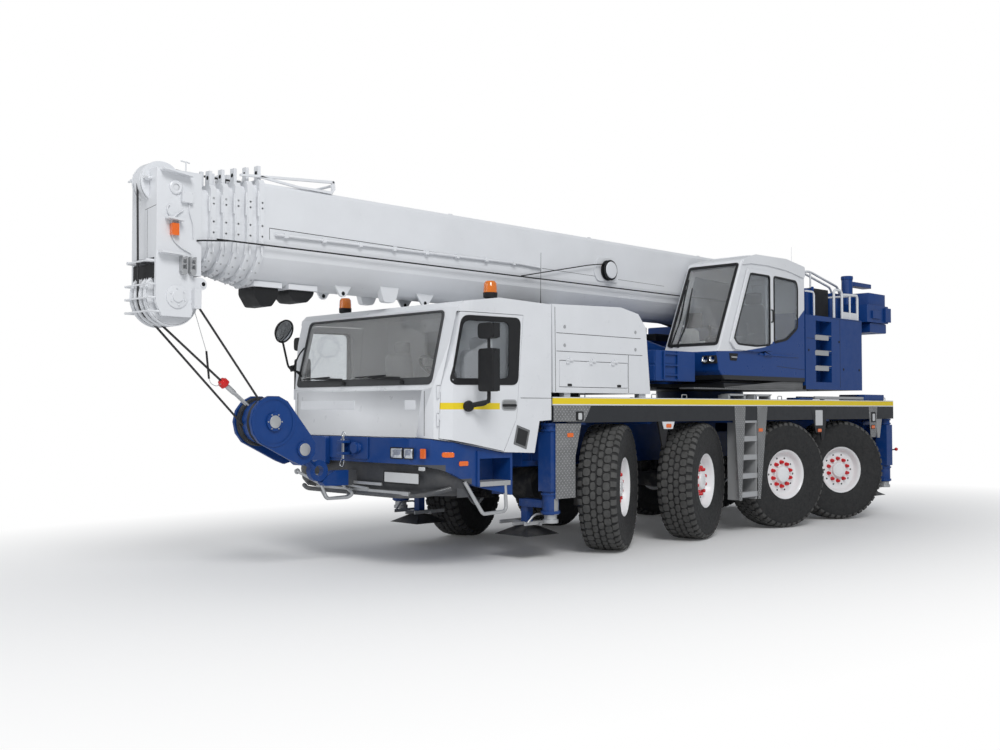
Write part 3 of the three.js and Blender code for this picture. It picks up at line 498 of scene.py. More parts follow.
def chequered(tree, where, pitch):
    """Raised lozenges on two diagonals by turns: inside each cell of a 45-degree lattice, one minus |a| /
    long minus |b| / short."""
    parts = tree.nodes.new("ShaderNodeSeparateXYZ")
    tree.links.new(where, parts.inputs[0])
    u = sums(tree, "DIVIDE", parts.outputs["X"], pitch)
    v = sums(tree, "DIVIDE", sums(tree, "ADD", parts.outputs["Y"], parts.outputs["Z"]), pitch)
    a, b = sums(tree, "ADD", u, v), sums(tree, "SUBTRACT", u, v)
    turn = sums(tree, "PINGPONG", sums(tree, "ADD", sums(tree, "FLOOR", a), sums(tree, "FLOOR", b)), 1.0)
    fa = sums(tree, "ABSOLUTE", sums(tree, "SUBTRACT", sums(tree, "FRACT", a), 0.5))
    fb = sums(tree, "ABSOLUTE", sums(tree, "SUBTRACT", sums(tree, "FRACT", b), 0.5))
    one = sums(tree, "SUBTRACT", 1.0, sums(tree, "ADD", sums(tree, "DIVIDE", fa, 0.46),
            sums(tree, "DIVIDE", fb, 0.17)))
    two = sums(tree, "SUBTRACT", 1.0, sums(tree, "ADD", sums(tree, "DIVIDE", fb, 0.46),
            sums(tree, "DIVIDE", fa, 0.17)))
    pick = sums(tree, "ADD", sums(tree, "MULTIPLY", one, sums(tree, "SUBTRACT", 1.0, turn)),
        sums(tree, "MULTIPLY", two, turn))
    return spread(tree, pick, 0.0, 0.45, 0.0, 1.0)


def tread_sheet(name, colour=(0.4, 0.405, 0.41), pitch=0.052, metal=0.35):
    """Raw chequered aluminium: brighter, smoother lozenges on a dull ground that holds dirt."""
    m = bpy.data.materials.new(name)
    tree, shader, where = wires(m)
    lozenge = chequered(tree, where, pitch)
    dirt = spread(tree, cloud(tree, where, 6.0, 6.0, 0.6), 0.35, 0.7, 0.0, 1.0)
    ground = tinted(tree, dirt, tuple(c * 0.62 for c in colour), tuple(c * 0.45 for c in colour))
    tree.links.new(tinted(tree, lozenge, ground, tuple(c * 1.25 for c in colour)),
        shader.inputs["Base Color"])
    tree.links.new(spread(tree, lozenge, 0, 1, 0.52, 0.33), shader.inputs["Roughness"])
    shader.inputs["Metallic"].default_value = metal
    embossed(tree, shader, lozenge, 0.8, 0.003)
    return m


white_paint = enamel("white_enamel", WHITE, 0.3, 0.04, 0.25)
deck_paint = enamel("deck_enamel", WHITE, 0.4, 0.08, 0.0,
    zones=((YELLOW, {"z": (1.668, 1.733), "y": (1.36, 1.4)}),
        (YELLOW, {"z": (1.668, 1.733), "y": (-1.4, -1.36)}), ((0.026, 0.028, 0.032), {"z": (1.3, 1.6548)}),
        ((0.26, 0.27, 0.28), {"z": (1.7415, 1.8)}), (SKIRT_GREY, {"z": (0.3, 1.4665), "x": (-3.0, -2.3)}),
        (BRACKET_BLACK_AND_SHADE, {"z": (1.0, 1.4665), "x": (-4.8, -4.3)}),
        # Painted shade: the CAD bracket between the first two axles is painted near-black so that it sinks
        # into the shadow under the deck.
        (BRACKET_BLACK_AND_SHADE, {"z": (1.0, 1.4665), "x": (-1.2, -0.5)}),
        (SKIRT_GREY, {"z": (1.0, 1.4665), "x": (-6.6, -5.9)})))
softened("deck", "carrier", deck_paint, 0.004)

chequer = tread_sheet("chequer_plate")
cast_silver = enamel("cast_silver", (0.5, 0.51, 0.52), 0.38, 0.35, 0.0, metal=0.55)
HANGER_FACE = (1.3752, 1.378)
plates = [panel([(-2.298, 1.652), (-2.556, 1.652), (-2.455, 0.44), (-2.4, 0.44)], *HANGER_FACE),
    panel([(-2.832, 1.652), (-3.082, 1.652), (-2.9, 0.44), (-2.84, 0.44)], *HANGER_FACE),
    panel([(0.507, 1.652), (1.115, 1.652), (1.115, 1.482), (0.62, 1.482)], *HANGER_FACE),
    panel([(-5.915, 1.652), (-6.195, 1.652), (-6.135, 1.19), (-5.975, 1.19)], *HANGER_FACE)]
made("hanger_plates", both(plates), chequer, "carrier", 0.0012)
treads = [bar((-2.84, 1.29, 0.475 + 0.24 * k), (-2.455, 1.371, 0.545 + 0.24 * k)) for k in range(5)]
made("ladder_treads", both(treads), cast_silver, "carrier", 0.006)
made("wedge_bracket", both(panel([(-4.2, 1.652), (-4.685, 1.652), (-4.535, 1.285), (-4.345, 1.285)],
        *HANGER_FACE)), black_iron, "carrier", 0.001)

# ---- Side markers and tags ----
# Orange lens lamps on small brackets and blank sheet tags, screwed under the deck edge.


def mottled(name, noise, tones, gloss, sockets, bump=None):
    """One fractal noise that blends two tones, slides the roughness and, if asked, raises the surface."""
    m = bpy.data.materials.new(name)
    tree, shader, where = wires(m)
    field = cloud(tree, where, *noise)
    tree.links.new(tinted(tree, field, *tones), shader.inputs["Base Color"])
    tree.links.new(spread(tree, field, 0.3, 0.7, *gloss), shader.inputs["Roughness"])
    for socket, value in sockets.items():
        shader.inputs[socket].default_value = value
    if bump:
        embossed(tree, shader, field, *bump)
    return m


orange_lens = mottled("orange_lens", (90.0, 2.0, 0.4), ((0.92, 0.19, 0.01), (0.72, 0.1, 0.006)),
    (0.1, 0.22), {"Coat Weight": 0.8}, (0.2, 0.001))
rubber_black = enamel("rubber_black", (0.014, 0.0145, 0.016), 0.5, 0.18, 0.0)
tag_paint = enamel("blank_tag", (0.6, 0.61, 0.62), 0.35, 0.25, 0.2)


def rubber_part(name, form, body, edge=0.0, sharp=35, rings=2):
    """A piece of black rubber or plastic among the trim."""
    return made(name, form, rubber_black, body, edge, sharp, rings)


def pad(u0, u1, v0, v1, low, high, across="y", corner=0.012):
    """A flat block with rounded outline corners."""
    return panel(rounded(oblong(u0, u1, v0, v1), corner, 3), low, high, across)


def lens_at(x, z, y=1.379, wide=0.1, tall=0.045):
    """A lens 6 mm thick, centred on (x, z), with its back at y."""
    return pad(x - wide / 2, x + wide / 2, z - tall / 2, z + tall / 2, y, y + 0.006)


lamp_places = [(-0.9, 1.417), (-2.905, 1.34), (-4.44, 1.315), (-6.05, 1.345)]
made("side_markers", both([lens_at(x, z) for x, z in lamp_places]), orange_lens, "carrier", 0.003)
rubber_part("marker_boxes", both([pad(x - 0.065, x + 0.065, z - 0.034, z + 0.034, 1.345, 1.3788)
        for x, z in lamp_places[2:]]), "carrier", 0.003)
made("marker_bracket", both(panel([(-0.78, 1.466), (-1.02, 1.466), (-0.985, 1.378), (-0.815, 1.378)], 1.366,
        1.3785)), white_paint, "carrier", 0.004)
made("tags", both([pad(-4.525, -4.33, 1.385, 1.6, 1.3785, 1.382),
        pad(-6.105, -6.03, 1.435, 1.545, 1.3805, 1.383), pad(0.665, 0.725, 1.5, 1.572, 1.3805, 1.383)]),
    tag_paint, "carrier", 0.001)
rubber_part("tag_frames", both([pad(-6.135, -5.985, 1.415, 1.572, 1.3782, 1.38),
        pad(0.635, 0.765, 1.488, 1.59, 1.3782, 1.38)]), "carrier", 0.001)

# ---- Things stowed on the deck ----
# Aluminium step clips and an access ladder lie on the deck edge, and blue tool boxes
# close the rear corners; all are strapped or bolted down.
DECK_TOP = 1.7455
clips = []
for x in (-2.42, -3.02):
    for end in (-0.18, 0.18):
        clips.append(bar((x + end - 0.02, 1.18, DECK_TOP), (x + end + 0.02, 1.34, 1.8)))
    clips.append(panel([(x - 0.2, 1.785), (x + 0.2, 1.785), (x + 0.16, 1.812), (x - 0.24, 1.812)], 1.2,
            1.34))
clips += [bar((-6.02, y, 1.757), (-4.42, y + 0.028, 1.797)) for y in (1.02, 1.3)]
clips += [bar((-4.6 - 0.27 * k, 1.048, 1.765), (-4.64 - 0.27 * k, 1.3, 1.787)) for k in range(6)]
clips += [bar((x, y, DECK_TOP), (x + 0.05, y + 0.05, 1.758)) for x in (-5.9, -4.7) for y in (1.01, 1.27)]
made("deck_ladder", clips, cast_silver, "carrier", 0.003)
made("deck_boxes", both([bar((-6.5, 0.92, DECK_TOP), (-5.86, 1.34, 1.835)),
        bar((-4.38, 1.1, DECK_TOP), (-4.02, 1.32, 1.775))]), blue_paint, "carrier", 0.012)
made("load_lashings", both([pipe([(x - 0.05, 1.28, DECK_TOP), (x - 0.05, 1.28, 1.79),
        (x + 0.05, 1.28, 1.79), (x + 0.05, 1.28, DECK_TOP)], 0.02, 4, 0.006, 8)
        for x in (0.55, -0.75, -1.35, -3.55, -6.6)]), cast_silver, "carrier")

# ---- Carrier cab shell ----
# Low welded steel cab with rounded edges; the windscreen is bonded in a wide rubber
# frame, and two pressed ribs cross the front below it.


def edged(obj, least, weigh, width):
    """A bevel on every edge sharper than the least angle: the edge's weight times the full width."""
    work = bmesh.new()
    work.from_mesh(obj.data)
    weight = work.edges.layers.float.new("bevel_weight_edge")
    for e in work.edges:
        if len(e.link_faces) == 2 and e.calc_face_angle(0.0) > math.radians(least):
            e[weight] = weigh(e)
    work.to_mesh(obj.data)
    work.free()
    b = obj.modifiers.new("edge", "BEVEL")
    b.width, b.segments, b.limit_method, b.harden_normals = width, 3, "WEIGHT", True
    return obj


def skinned(node, body, finish, edge, broad, plate=0.1, sharp=38):
    """As softened, but an edge between two large plates gets the broad radius and all others the fine one."""
    def weigh(e):
        """Full weight where the smaller plate is larger than the limit."""
        return 1.0 if min(f.calc_area() for f in e.link_faces) > plate else edge / broad

    return edged(softened(node, body, finish, 0, sharp), 14, weigh, broad)


skinned("carrier_cab", "carrier", white_paint, 0.004, 0.03)


def cab_side(x):
    """Half width of the cab at a station: straight runs between the corners of its plan."""
    return np.interp(x, [1.14, 2.3, 2.5, 2.63, 2.695], [1.365, 1.357, 1.32, 1.18, 0.98])


def on_side(flat, proud):
    """(x, z) points laid on the cab's left side, this far outside its skin."""
    flat = np.asarray(flat, float)
    return np.stack([flat[:, 0], cab_side(flat[:, 0]) + proud, flat[:, 1]], 1)


def fine(outline, step=0.06):
    """The same outline with points added along each side, none further apart than the step."""
    p = np.asarray(outline, float)
    q = np.roll(p, -1, 0)
    return np.concatenate([a + (b - a) * np.linspace(0, 1, max(1, math.ceil(np.linalg.norm(b - a) / step)),
            endpoint=False)[:, None] for a, b in zip(p, q)])


def shrunk(outline, by):
    """The outline moved inwards: each corner goes along its bisector by (n1 + n2) / (1 + n1.n2)."""
    p = np.asarray(outline, float)
    edge = np.roll(p, -1, 0) - p
    edge /= np.linalg.norm(edge, axis=1)[:, None]
    turn = np.sign(np.sum(p[:, 0] * np.roll(p[:, 1], -1) - np.roll(p[:, 0], -1) * p[:, 1]))
    n = turn * np.stack([-edge[:, 1], edge[:, 0]], 1)
    m = np.roll(n, 1, 0)
    return p + by * (n + m) / (1 + np.sum(n * m, 1))[:, None]


def evenly(outline, count):
    """A closed outline walked round in steps of one length: count points."""
    p = np.concatenate([outline, outline[:1]])
    far = np.append(0, np.cumsum(np.linalg.norm(np.diff(p, axis=0), axis=1)))
    at = np.linspace(0, far[-1], count, endpoint=False)
    return np.stack([np.interp(at, far, p[:, i]) for i in (0, 1)], 1)


def hoop(outer, inner, place, low, high):
    """A frame between two outlines, with its heights given to the placing function. Where their counts
    differ, both are walked round evenly and each outer point takes the nearest inner one."""
    outer, inner = np.asarray(outer, float), np.asarray(inner, float)
    if len(outer) != len(inner):
        outer = evenly(outer, 160)
        inner = evenly(inner, 640)
        inner = inner[[int(np.argmin(np.linalg.norm(inner - p, axis=1))) for p in outer]]
    return np.stack([place(outer, low), place(outer, high), place(inner, high), place(inner, low)],
        1).reshape(-1, 3), grid(len(outer), 4, True, True)


def slab(outline, place, low, high):
    """A closed plate over an outline, laid by the placing function."""
    n = len(outline)
    k = np.arange(n)
    return (np.concatenate([place(outline, low), place(outline, high)]),
        [k[::-1].tolist(), (k + n).tolist()] + np.stack([k, (k + 1) % n, (k + 1) % n + n, k + n],
            1).tolist())


def on_screen(flat, proud):
    """(y, distance up the slope) points on the windscreen plane: foot + v up + proud outwards."""
    flat = np.asarray(flat, float)
    return np.stack([2.636 - 0.2394 * flat[:, 1] + 0.971 * proud, flat[:, 0],
            1.825 + 0.971 * flat[:, 1] + 0.2394 * proud], 1)


def clear_glass(name, tint, rough=0.02, through=0.92):
    """Thin tinted pane: transmission with a faint film of dust in the gloss."""
    return mottled(name, (3.0, 4.0, 0.5), (tint, tuple(c * 0.93 for c in tint)), (rough, rough + 0.03),
        {"Transmission Weight": through, "IOR": 1.45})


seal = enamel("window_rubber", (0.055, 0.057, 0.06), 0.6, 0.1, 0.0)
screen_glass = clear_glass("screen_glass", (0.97, 0.98, 0.98))
dark_glass = clear_glass("side_glass", (0.74, 0.78, 0.82), 0.02, 0.9)
softened("windshield", "carrier", screen_glass, 0)
outer = fine(rounded(oblong(-1.15, 1.15, 0.03, 0.793), 0.06), 0.2)
inner = fine(rounded(oblong(-1.118, 1.118, 0.104, 0.77), 0.05), 0.2)
made("screen_seal", hoop(outer, inner, on_screen, -0.012, 0.012), seal, "carrier", 0.004)

ribs = [pad(y0, y1, 1.608, 1.702, 2.676, 2.6805, "x", 0.008) for y0, y1 in ((-1.0, -0.02), (0.8, 0.965))]
made("front_ribs", ribs, white_paint, "carrier", 0.003)
made("screen_clip", bar((2.66, 0.39, 1.8), (2.674, 0.47, 1.825)), white_paint, "carrier", 0.003)
shut = enamel("shut_line", (0.03, 0.031, 0.033), 0.7, 0.0, 0.0)
seams = [bar((2.65, 1.078, 1.35), (2.664, 1.083, 1.79)),
    panel(oblong(1.1, 1.6, 1.727, 1.731), 1.355, 1.3658)]
made("cab_seams", both(seams), shut, "carrier")
diamond = [(1.655, 1.452), (1.468, 1.396), (1.52, 1.2), (1.705, 1.258)]
made("vent_frame", both(hoop(np.array(diamond), shrunk(diamond, 0.022), on_side, -0.003, 0.006)),
    enamel("vent_frame_grey", (0.16, 0.165, 0.17), 0.5), "carrier", 0.002)
made("vent_mouth", both(slab(shrunk(diamond, 0.02), on_side, -0.003, 0.002)), shut, "carrier")

# ---- Wipers, roof fittings and aerial ----
# Two pressed wiper arms park along the foot of the screen; the beacons have amber
# domes on black sockets, and a whip aerial stands on the left roof edge.
arms = []
for foot, tip in ((-0.25, -1.0), (0.72, -0.05)):
    arms.append(tube(on_screen([(foot, 0.055), (foot + (tip - foot) * 0.06, 0.1),
            (tip + 0.28 * abs(tip - foot), 0.118)], 0.03), 0.011, 8))
    arms.append(tube(on_screen([(tip + 0.62 * (foot - tip), 0.132), (tip - 0.02, 0.118)], 0.022), 0.008, 8))
    arms.append(turned([(0, -0.02), (0.022, -0.02), (0.02, 0.03), (0, 0.034)],
            on_screen([(foot, 0.055)], 0.012)[0], (0.971, 0, 0.2394), 16))
rubber_part("wipers", arms, "carrier")
amber = mottled("amber_dome", (60.0, 2.0, 0.4), ((0.95, 0.27, 0.008), (0.8, 0.16, 0.006)), (0.08, 0.2),
    {"Transmission Weight": 0.25, "Coat Weight": 1.0})
tops = [(1.905, 1.226, 2.738), (1.905, -1.226, 2.738)]
made("beacon_domes", [turned([(0, 0.062), (0.07, 0.062), (0.069, 0.1), (0.066, 0.155), (0.05, 0.18),
        (0, 0.185)], t, (0, 0, 1)) for t in tops], amber, "carrier", sharp=50)
rubber_part("beacon_sockets", [turned([(0, -0.03), (0.04, -0.03), (0.04, 0.0), (0.072, 0.012),
        (0.074, 0.062), (0, 0.062)], t, (0, 0, 1)) for t in tops], "carrier")
rubber_part("roof_aerial", turned([(0, -0.01), (0.018, -0.01), (0.014, 0.02), (0.004, 0.05), (0.0026, 0.12),
        (0.0018, 0.56), (0, 0.565)], (1.235, 1.3, 2.705), (0.03, 0.04, 1), 10), "carrier")

# ---- Far-side front mirror ----
# A round convex mirror on a cranked black tube ahead of the far front pillar, so that
# the driver sees the ground before the bumper.
MIRROR_AT = (2.791, -1.17, 2.484)
crank = rounded([(2.6, -1.12, 2.02), (2.72, -1.18, 2.07), (2.79, -1.215, 2.42), (2.79, -1.195, 2.478)],
    0.05, 5, False)
rubber_part("round_mirror_arm", [tube(crank, 0.012, 10), pipe([(2.6, -1.1, 1.98), (2.68, -1.15, 2.07),
        (2.64, -1.1, 2.22), (2.58, -1.08, 2.3)], 0.03, 4, 0.009, 8),
        turned(oblong(0, 0.028, -0.03, 0.03), (2.69, -1.155, 2.07), (0.2, -0.3, 1), 14)], "carrier")
face = (-0.2, 0.92, -0.33)
rubber_part("round_mirror_shell", turned([(0, -0.055), (0.07, -0.05), (0.115, -0.03), (0.136, 0.0),
        (0.136, 0.01), (0.124, 0.012), (0.124, 0.004), (0, 0.004)], MIRROR_AT, face, 32), "carrier",
    sharp=45)
mirror_glass = mottled("mirror_glass", (20.0, 3.0, 0.5), ((0.72, 0.74, 0.76), (0.62, 0.64, 0.66)),
    (0.03, 0.07), {"Metallic": 1.0})
made("round_mirror_glass", turned([(0, 0.002), (0.125, 0.002), (0.125, 0.004), (0.09, 0.012), (0.05, 0.016),
        (0, 0.018)], MIRROR_AT, face, 32), mirror_glass, "carrier", sharp=60)

# ---- Cab doors ----
# Pressed doors with a fixed frame; the pane sits in a black rubber profile, the pull
# handle in a moulded dish, and the mirror arms are clamped under the sill.
door_paint = enamel("door_enamel", WHITE, 0.3, 0.04, 0.25,
    zones=((YELLOW, {"z": (1.611, 1.676), "x": (1.9, 2.6), "y": (1.2, 1.385)}),
        (YELLOW, {"z": (1.611, 1.676), "x": (1.9, 2.6), "y": (-1.385, -1.2)}),
        ((0.013, 0.0135, 0.015), {"y": (1.372, 1.75)}), ((0.013, 0.0135, 0.015), {"y": (-1.75, -1.372)})))
pane_edge = rounded([(2.535, 1.85), (2.405, 2.54), (1.6, 2.552), (1.64, 1.86)], 0.085, 6)
pane_in = rounded([(2.5, 1.915), (2.382, 2.485), (1.775, 2.495), (1.775, 1.925)], 0.07, 6)
pane_form = rounded([(2.52, 1.895), (2.395, 2.5), (1.745, 2.512), (1.7, 1.895)], 0.05, 6)


def sided(form, side):
    """The form, or list of forms, on the left, or its mirror image on the right."""
    points, faces = joined(*form) if isinstance(form, list) else form
    return (points, faces) if side > 0 else (points * [1, -1, 1], [f[::-1] for f in faces])


for side, tag in ((1, "l"), (-1, "r")):
    body = f"cab_door_{tag}"
    skinned(body, body, door_paint, 0.003, 0.006)
    rubber_part(f"door_seal_{tag}", sided(hoop(evenly(pane_edge, 160), pane_in, on_side, -0.004, 0.007),
            side), body, 0.003)
    made(f"door_pane_{tag}", sided(slab(fine(pane_form, 0.08), on_side, -0.022, -0.017), side), dark_glass,
        body)
    dish = rounded(oblong(1.66, 1.875, 1.6, 1.712), 0.045, 6)
    made(f"handle_dish_{tag}", sided(hoop(dish, shrunk(dish, 0.014), on_side, -0.001, 0.006), side),
        cast_silver, body, 0.002)
    made(f"handle_floor_{tag}", sided(slab(shrunk(dish, 0.012), on_side, -0.001, 0.002), side),
        enamel(f"dish_grey_{tag}", (0.3, 0.305, 0.31), 0.4), body)
    grip = np.array([(1.675, 0.004), (1.69, 0.02), (1.77, 0.026), (1.85, 0.02), (1.862, 0.004)])
    rubber_part(f"handle_{tag}", sided(tube(np.stack([grip[:, 0], cab_side(grip[:, 0]) + grip[:, 1],
            0 * grip[:, 0] + 1.652], 1), 0.013, 10), side), body)
    # mirror heads: a moulded shell over each plate, with the glass on its rear face
    heads = [pad(1.47, 1.6795, 1.785, 2.205, 2.213, 2.312, "x", 0.035),
        pad(1.47, 1.6795, 2.3, 2.455, 2.213, 2.32, "x", 0.045)]
    rubber_part(f"mirror_shells_{tag}", sided(heads, side), body, 0.018, rings=3)
    looks = [pad(1.495, 1.665, 1.805, 2.185, 2.2115, 2.2128, "x", 0.025),
        pad(1.495, 1.665, 2.315, 2.44, 2.2115, 2.2128, "x", 0.03)]
    made(f"mirror_glass_{tag}", sided(looks, side), mirror_glass, body)
    knob = [turned([(0, -0.02), (0.052, -0.02), (0.056, 0.02), (0.04, 0.045), (0, 0.05)],
            (2.338, 1.362, 1.642), (0.25, 1, 0.1), 24),
        pipe([(2.338, 1.362, 1.642), (2.275, 1.53, 1.665), (2.262, 1.575, 1.7), (2.262, 1.575, 1.8)], 0.05,
            6, 0.019, 10)]
    rubber_part(f"mirror_foot_{tag}", sided(knob, side), body, sharp=50)

# ---- Cab interior and seats ----
# Moulded grey dash and floor mat, a steering wheel on its column, and two sprung
# seats with stuffed, sewn cushions under a light grey cloth.
cabin_grey = enamel("cabin_grey", (0.62, 0.63, 0.63), 0.55, 0.04, 0.0)
mat_dark = enamel("mat_dark", (0.045, 0.046, 0.05), 0.8, 0.15, 0.0)
dash = [(2.255, 1.402), (2.555, 1.402), (2.555, 1.815), (2.45, 1.862), (2.33, 1.876), (2.262, 1.8)]
dash_obj = made("dash", [panel(rounded(dash, 0.05, 4), -1.075, 1.075),
        bar((1.505, -0.895, 1.4005), (2.495, 0.895, 1.415))], cabin_grey, "carrier", 0.01)
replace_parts(dash_obj, "cab_interior")
made("instrument_hood", [panel(rounded([(2.235, 1.8), (2.3, 1.9), (2.45, 1.9), (2.47, 1.85)], 0.03, 4),
        0.42, 0.86), panel(rounded([(2.24, 1.55), (2.262, 1.8), (2.3, 1.8), (2.3, 1.55)], 0.02, 4), -0.35,
        0.3)], mat_dark, "carrier", 0.012)
turn_axis = np.array([0.573, 0.0, -0.819])
wheel_centre = np.array([2.09, 0.64, 2.04])
rim_angle = all_round(40)[:, None]
across, up_wheel = np.array([0.0, 1.0, 0.0]), np.array([0.819, 0.0, 0.573])
hoop_path = wheel_centre + 0.205 * (np.cos(rim_angle) * across + np.sin(rim_angle) * up_wheel)
spokes = [tube([wheel_centre, wheel_centre + 0.198 * (math.cos(a) * across + math.sin(a) * up_wheel)],
        0.012, 8) for a in (0.15, 2.99, 4.71)]
made("steering_wheel", [tube(hoop_path, 0.016, 12, True), *spokes,
        turned([(0, -0.02), (0.06, -0.02), (0.05, 0.03), (0, 0.03)], wheel_centre, turn_axis, 20),
        tube([wheel_centre, (2.315, 0.64, 1.745)], 0.028, 12)], mat_dark, "carrier", sharp=50)
made("seat_bases", both([panel(rounded([(1.6, 1.415), (1.86, 1.415), (1.8, 1.56), (1.64, 1.56)], 0.02, 3),
        0.5, 0.78), bar((1.55, 0.46, 1.56), (1.98, 0.82, 1.6))]), mat_dark, "carrier", 0.008)


def cushion(centre, half, crown, pinch, seams=(), power=5.0, lean=0.0, n=44):
    """A stuffed form: a rounded block whose sides draw in between the corners, crowned on top, with sewn
    channels. Point = half size times sign(c)|c|^(2/power) on each turn; width shrinks by pinch (1 -
    u^2); channels dip as exp(-(u - s)^2 / w)."""
    a = all_round(n)[:, None]
    b = np.linspace(-np.pi / 2, np.pi / 2, n // 2 + 1)[None, :]

    def arc(c, e):
        """The cosine or sine raised to the power e, with its sign kept."""
        return np.sign(c) * np.abs(c) ** e

    e = 2.0 / power
    x = arc(np.cos(b), e) * arc(np.cos(a), e)
    y = arc(np.cos(b), e) * arc(np.sin(a), e)
    z = arc(np.sin(b), 0.72) + 0 * a
    draw_x, draw_y = 1 - pinch * (1 - y * y) * np.abs(x), 1 - pinch * (1 - x * x) * np.abs(y)
    swell = crown * (1 - x * x) * (1 - y * y) * np.sign(z) * np.abs(z)
    dip = sum(0.16 * np.exp(-((x - s) / 0.045) ** 2) for s in seams) if seams else 0.0
    hx, hy, hz = half
    q = np.stack([x * draw_x * hx, y * draw_y * hy, z * hz * (1 - dip * (z > 0)) + swell], -1).reshape(-1,
        3)
    c, s = math.cos(lean), math.sin(lean)
    q = np.stack([q[:, 0] * c + q[:, 2] * s, q[:, 1], -q[:, 0] * s + q[:, 2] * c], 1)
    return q + np.asarray(centre, float), grid(n, n // 2 + 1, True, False)


def seat_cloth(name, colour):
    """Woven cover: crossing threads from two sine ramps, with cloudy wear on the high spots."""
    m = bpy.data.materials.new(name)
    tree, shader, where = wires(m)
    parts = tree.nodes.new("ShaderNodeSeparateXYZ")
    tree.links.new(where, parts.inputs[0])
    warp = sums(tree, "SINE", sums(tree, "MULTIPLY", sums(tree, "ADD", parts.outputs["X"],
            parts.outputs["Z"]), 2200.0))
    weft = sums(tree, "SINE", sums(tree, "MULTIPLY", parts.outputs["Y"], 2200.0))
    weave = spread(tree, sums(tree, "MULTIPLY", warp, weft), -1, 1, 0, 1)
    worn = spread(tree, cloud(tree, where, 7.0), 0.35, 0.7, 0.0, 1.0)
    base = tinted(tree, worn, tuple(c * 0.85 for c in colour), colour)
    tree.links.new(tinted(tree, sums(tree, "MULTIPLY", weave, 0.35), base, tuple(c * 0.6 for c in colour)),
        shader.inputs["Base Color"])
    tree.links.new(spread(tree, worn, 0, 1, 0.78, 0.92), shader.inputs["Roughness"])
    shader.inputs["Sheen Weight"].default_value = 0.4
    embossed(tree, shader, weave, 0.25, 0.0008)
    return m


cloth = seat_cloth("cab_seat_cloth", (0.42, 0.43, 0.44))
for side, tag in ((1, "l"), (-1, "r")):
    pieces = {"base": cushion((1.77, side * 0.64, 1.69), (0.25, 0.238, 0.075), 0.022, 0.035,
            (-0.45, 0.0, 0.45)), "back": cushion((1.545, side * 0.64, 1.99), (0.28, 0.228, 0.06), 0.018,
            0.035, (-0.3, 0.2), lean=math.radians(-83)),
        "head": cushion((1.512, side * 0.64, 2.32), (0.08, 0.13, 0.045), 0.012, 0.03, (), 4.0,
            math.radians(-84))}
    for part, form in pieces.items():
        cushion_obj = made(f"cab_seat_{part}_{tag}", form, cloth, "carrier", sharp=60)

# ---- Front bumper, lamps and towing gear ----
# A blue pressed band over a dark apron with alloy strips; lamps sit in black boxes,
# and the towing jaw, tow tubes, pins and foot stirrups are bolted to the nose.
BAND_FACE = 2.7352
APRON = (0.07, 0.073, 0.08)
bumper_paint = enamel("bumper_enamel", BLUE, 0.34, 0.15, 0.1,
    zones=((APRON, {"z": (0.7, 1.07), "x": (2.35, 2.8), "y": (-1.25, 1.25)}),
        (APRON, {"z": (0.7, 0.93), "x": (2.24, 2.8)})))
skinned("front_bumper", "carrier", bumper_paint, 0.004, 0.02, 0.02)
lamp_box = [pad(y0, y1, 1.121, 1.236, BAND_FACE, 2.7395, "x", 0.012)
    for y0, y1 in ((0.648, 0.852), (0.858, 1.012))]
rubber_part("lamp_boxes", both(lamp_box), "carrier", 0.002)
lamp_white = mottled("lamp_white", (45.0, 3.0, 0.5), ((0.78, 0.8, 0.84), (0.42, 0.45, 0.5)), (0.05, 0.18),
    {"Metallic": 0.55, "Coat Weight": 1.0}, (0.3, 0.002))


def headlamp(y, z, wide, tall, x=2.7395):
    """A square lamp whose face bulges as 1 - u^4 / 2 - v^4 / 2 between its edges."""
    u, v = np.meshgrid(np.linspace(-1, 1, 15), np.linspace(-1, 1, 15), indexing="ij")
    bulge = 0.01 * (1 - 0.5 * u ** 4 - 0.5 * v ** 4)
    return np.stack([x + bulge, y + wide / 2 * u, z + tall / 2 * v], -1).reshape(-1, 3), grid(15, 15)


made("headlamps", both([headlamp(0.75, 1.178, 0.165, 0.092), headlamp(0.935, 1.178, 0.125, 0.092)]),
    lamp_white, "carrier", sharp=50)
made("indicators", both(pad(1.075, 1.14, 1.132, 1.228, 2.69, 2.712, "x", 0.01)), orange_lens, "carrier",
    0.004)
flank = rounded(oblong(2.474, 2.562, 1.142, 1.194), 0.02, 4)
rear_flank = rounded(oblong(2.29, 2.408, 1.056, 1.103), 0.015, 4)


def on_bumper(flat, proud):
    """(x, z) points laid on the bumper's left flank: its plan runs from (1.69, 1.33) by (2.48, 1.30) and
    (2.64, 1.15) to (2.735, 0.94)."""
    flat = np.asarray(flat, float)
    return np.stack([flat[:, 0], np.interp(flat[:, 0], [1.69, 2.48, 2.64, 2.735], [1.33, 1.3, 1.15, 0.94])
            + proud, flat[:, 1]], 1)


made("flank_markers", both([slab(fine(flank, 0.03), on_bumper, 0.0005, 0.012),
        slab(rear_flank, on_bumper, 0.0005, 0.009)]), orange_lens, "carrier", 0.003)
made("plate_holder", pad(0.555, 1.095, 0.88, 0.992, BAND_FACE, 2.74, "x", 0.01), tag_paint, "carrier",
    0.002)
rubber_part("plate_rim", hoop(rounded(oblong(0.548, 1.102, 0.873, 0.999), 0.012, 3),
        rounded(oblong(0.562, 1.088, 0.887, 0.985), 0.008, 3), lambda flat, h: lifted(flat, 2.737 + h, "x"),
        -0.0015, 0.0045), "carrier", 0.001)
made("front_reflector", pad(1.045, 1.13, 1.012, 1.05, 2.69, 2.706, "x", 0.012), tag_paint, "carrier",
    0.003)


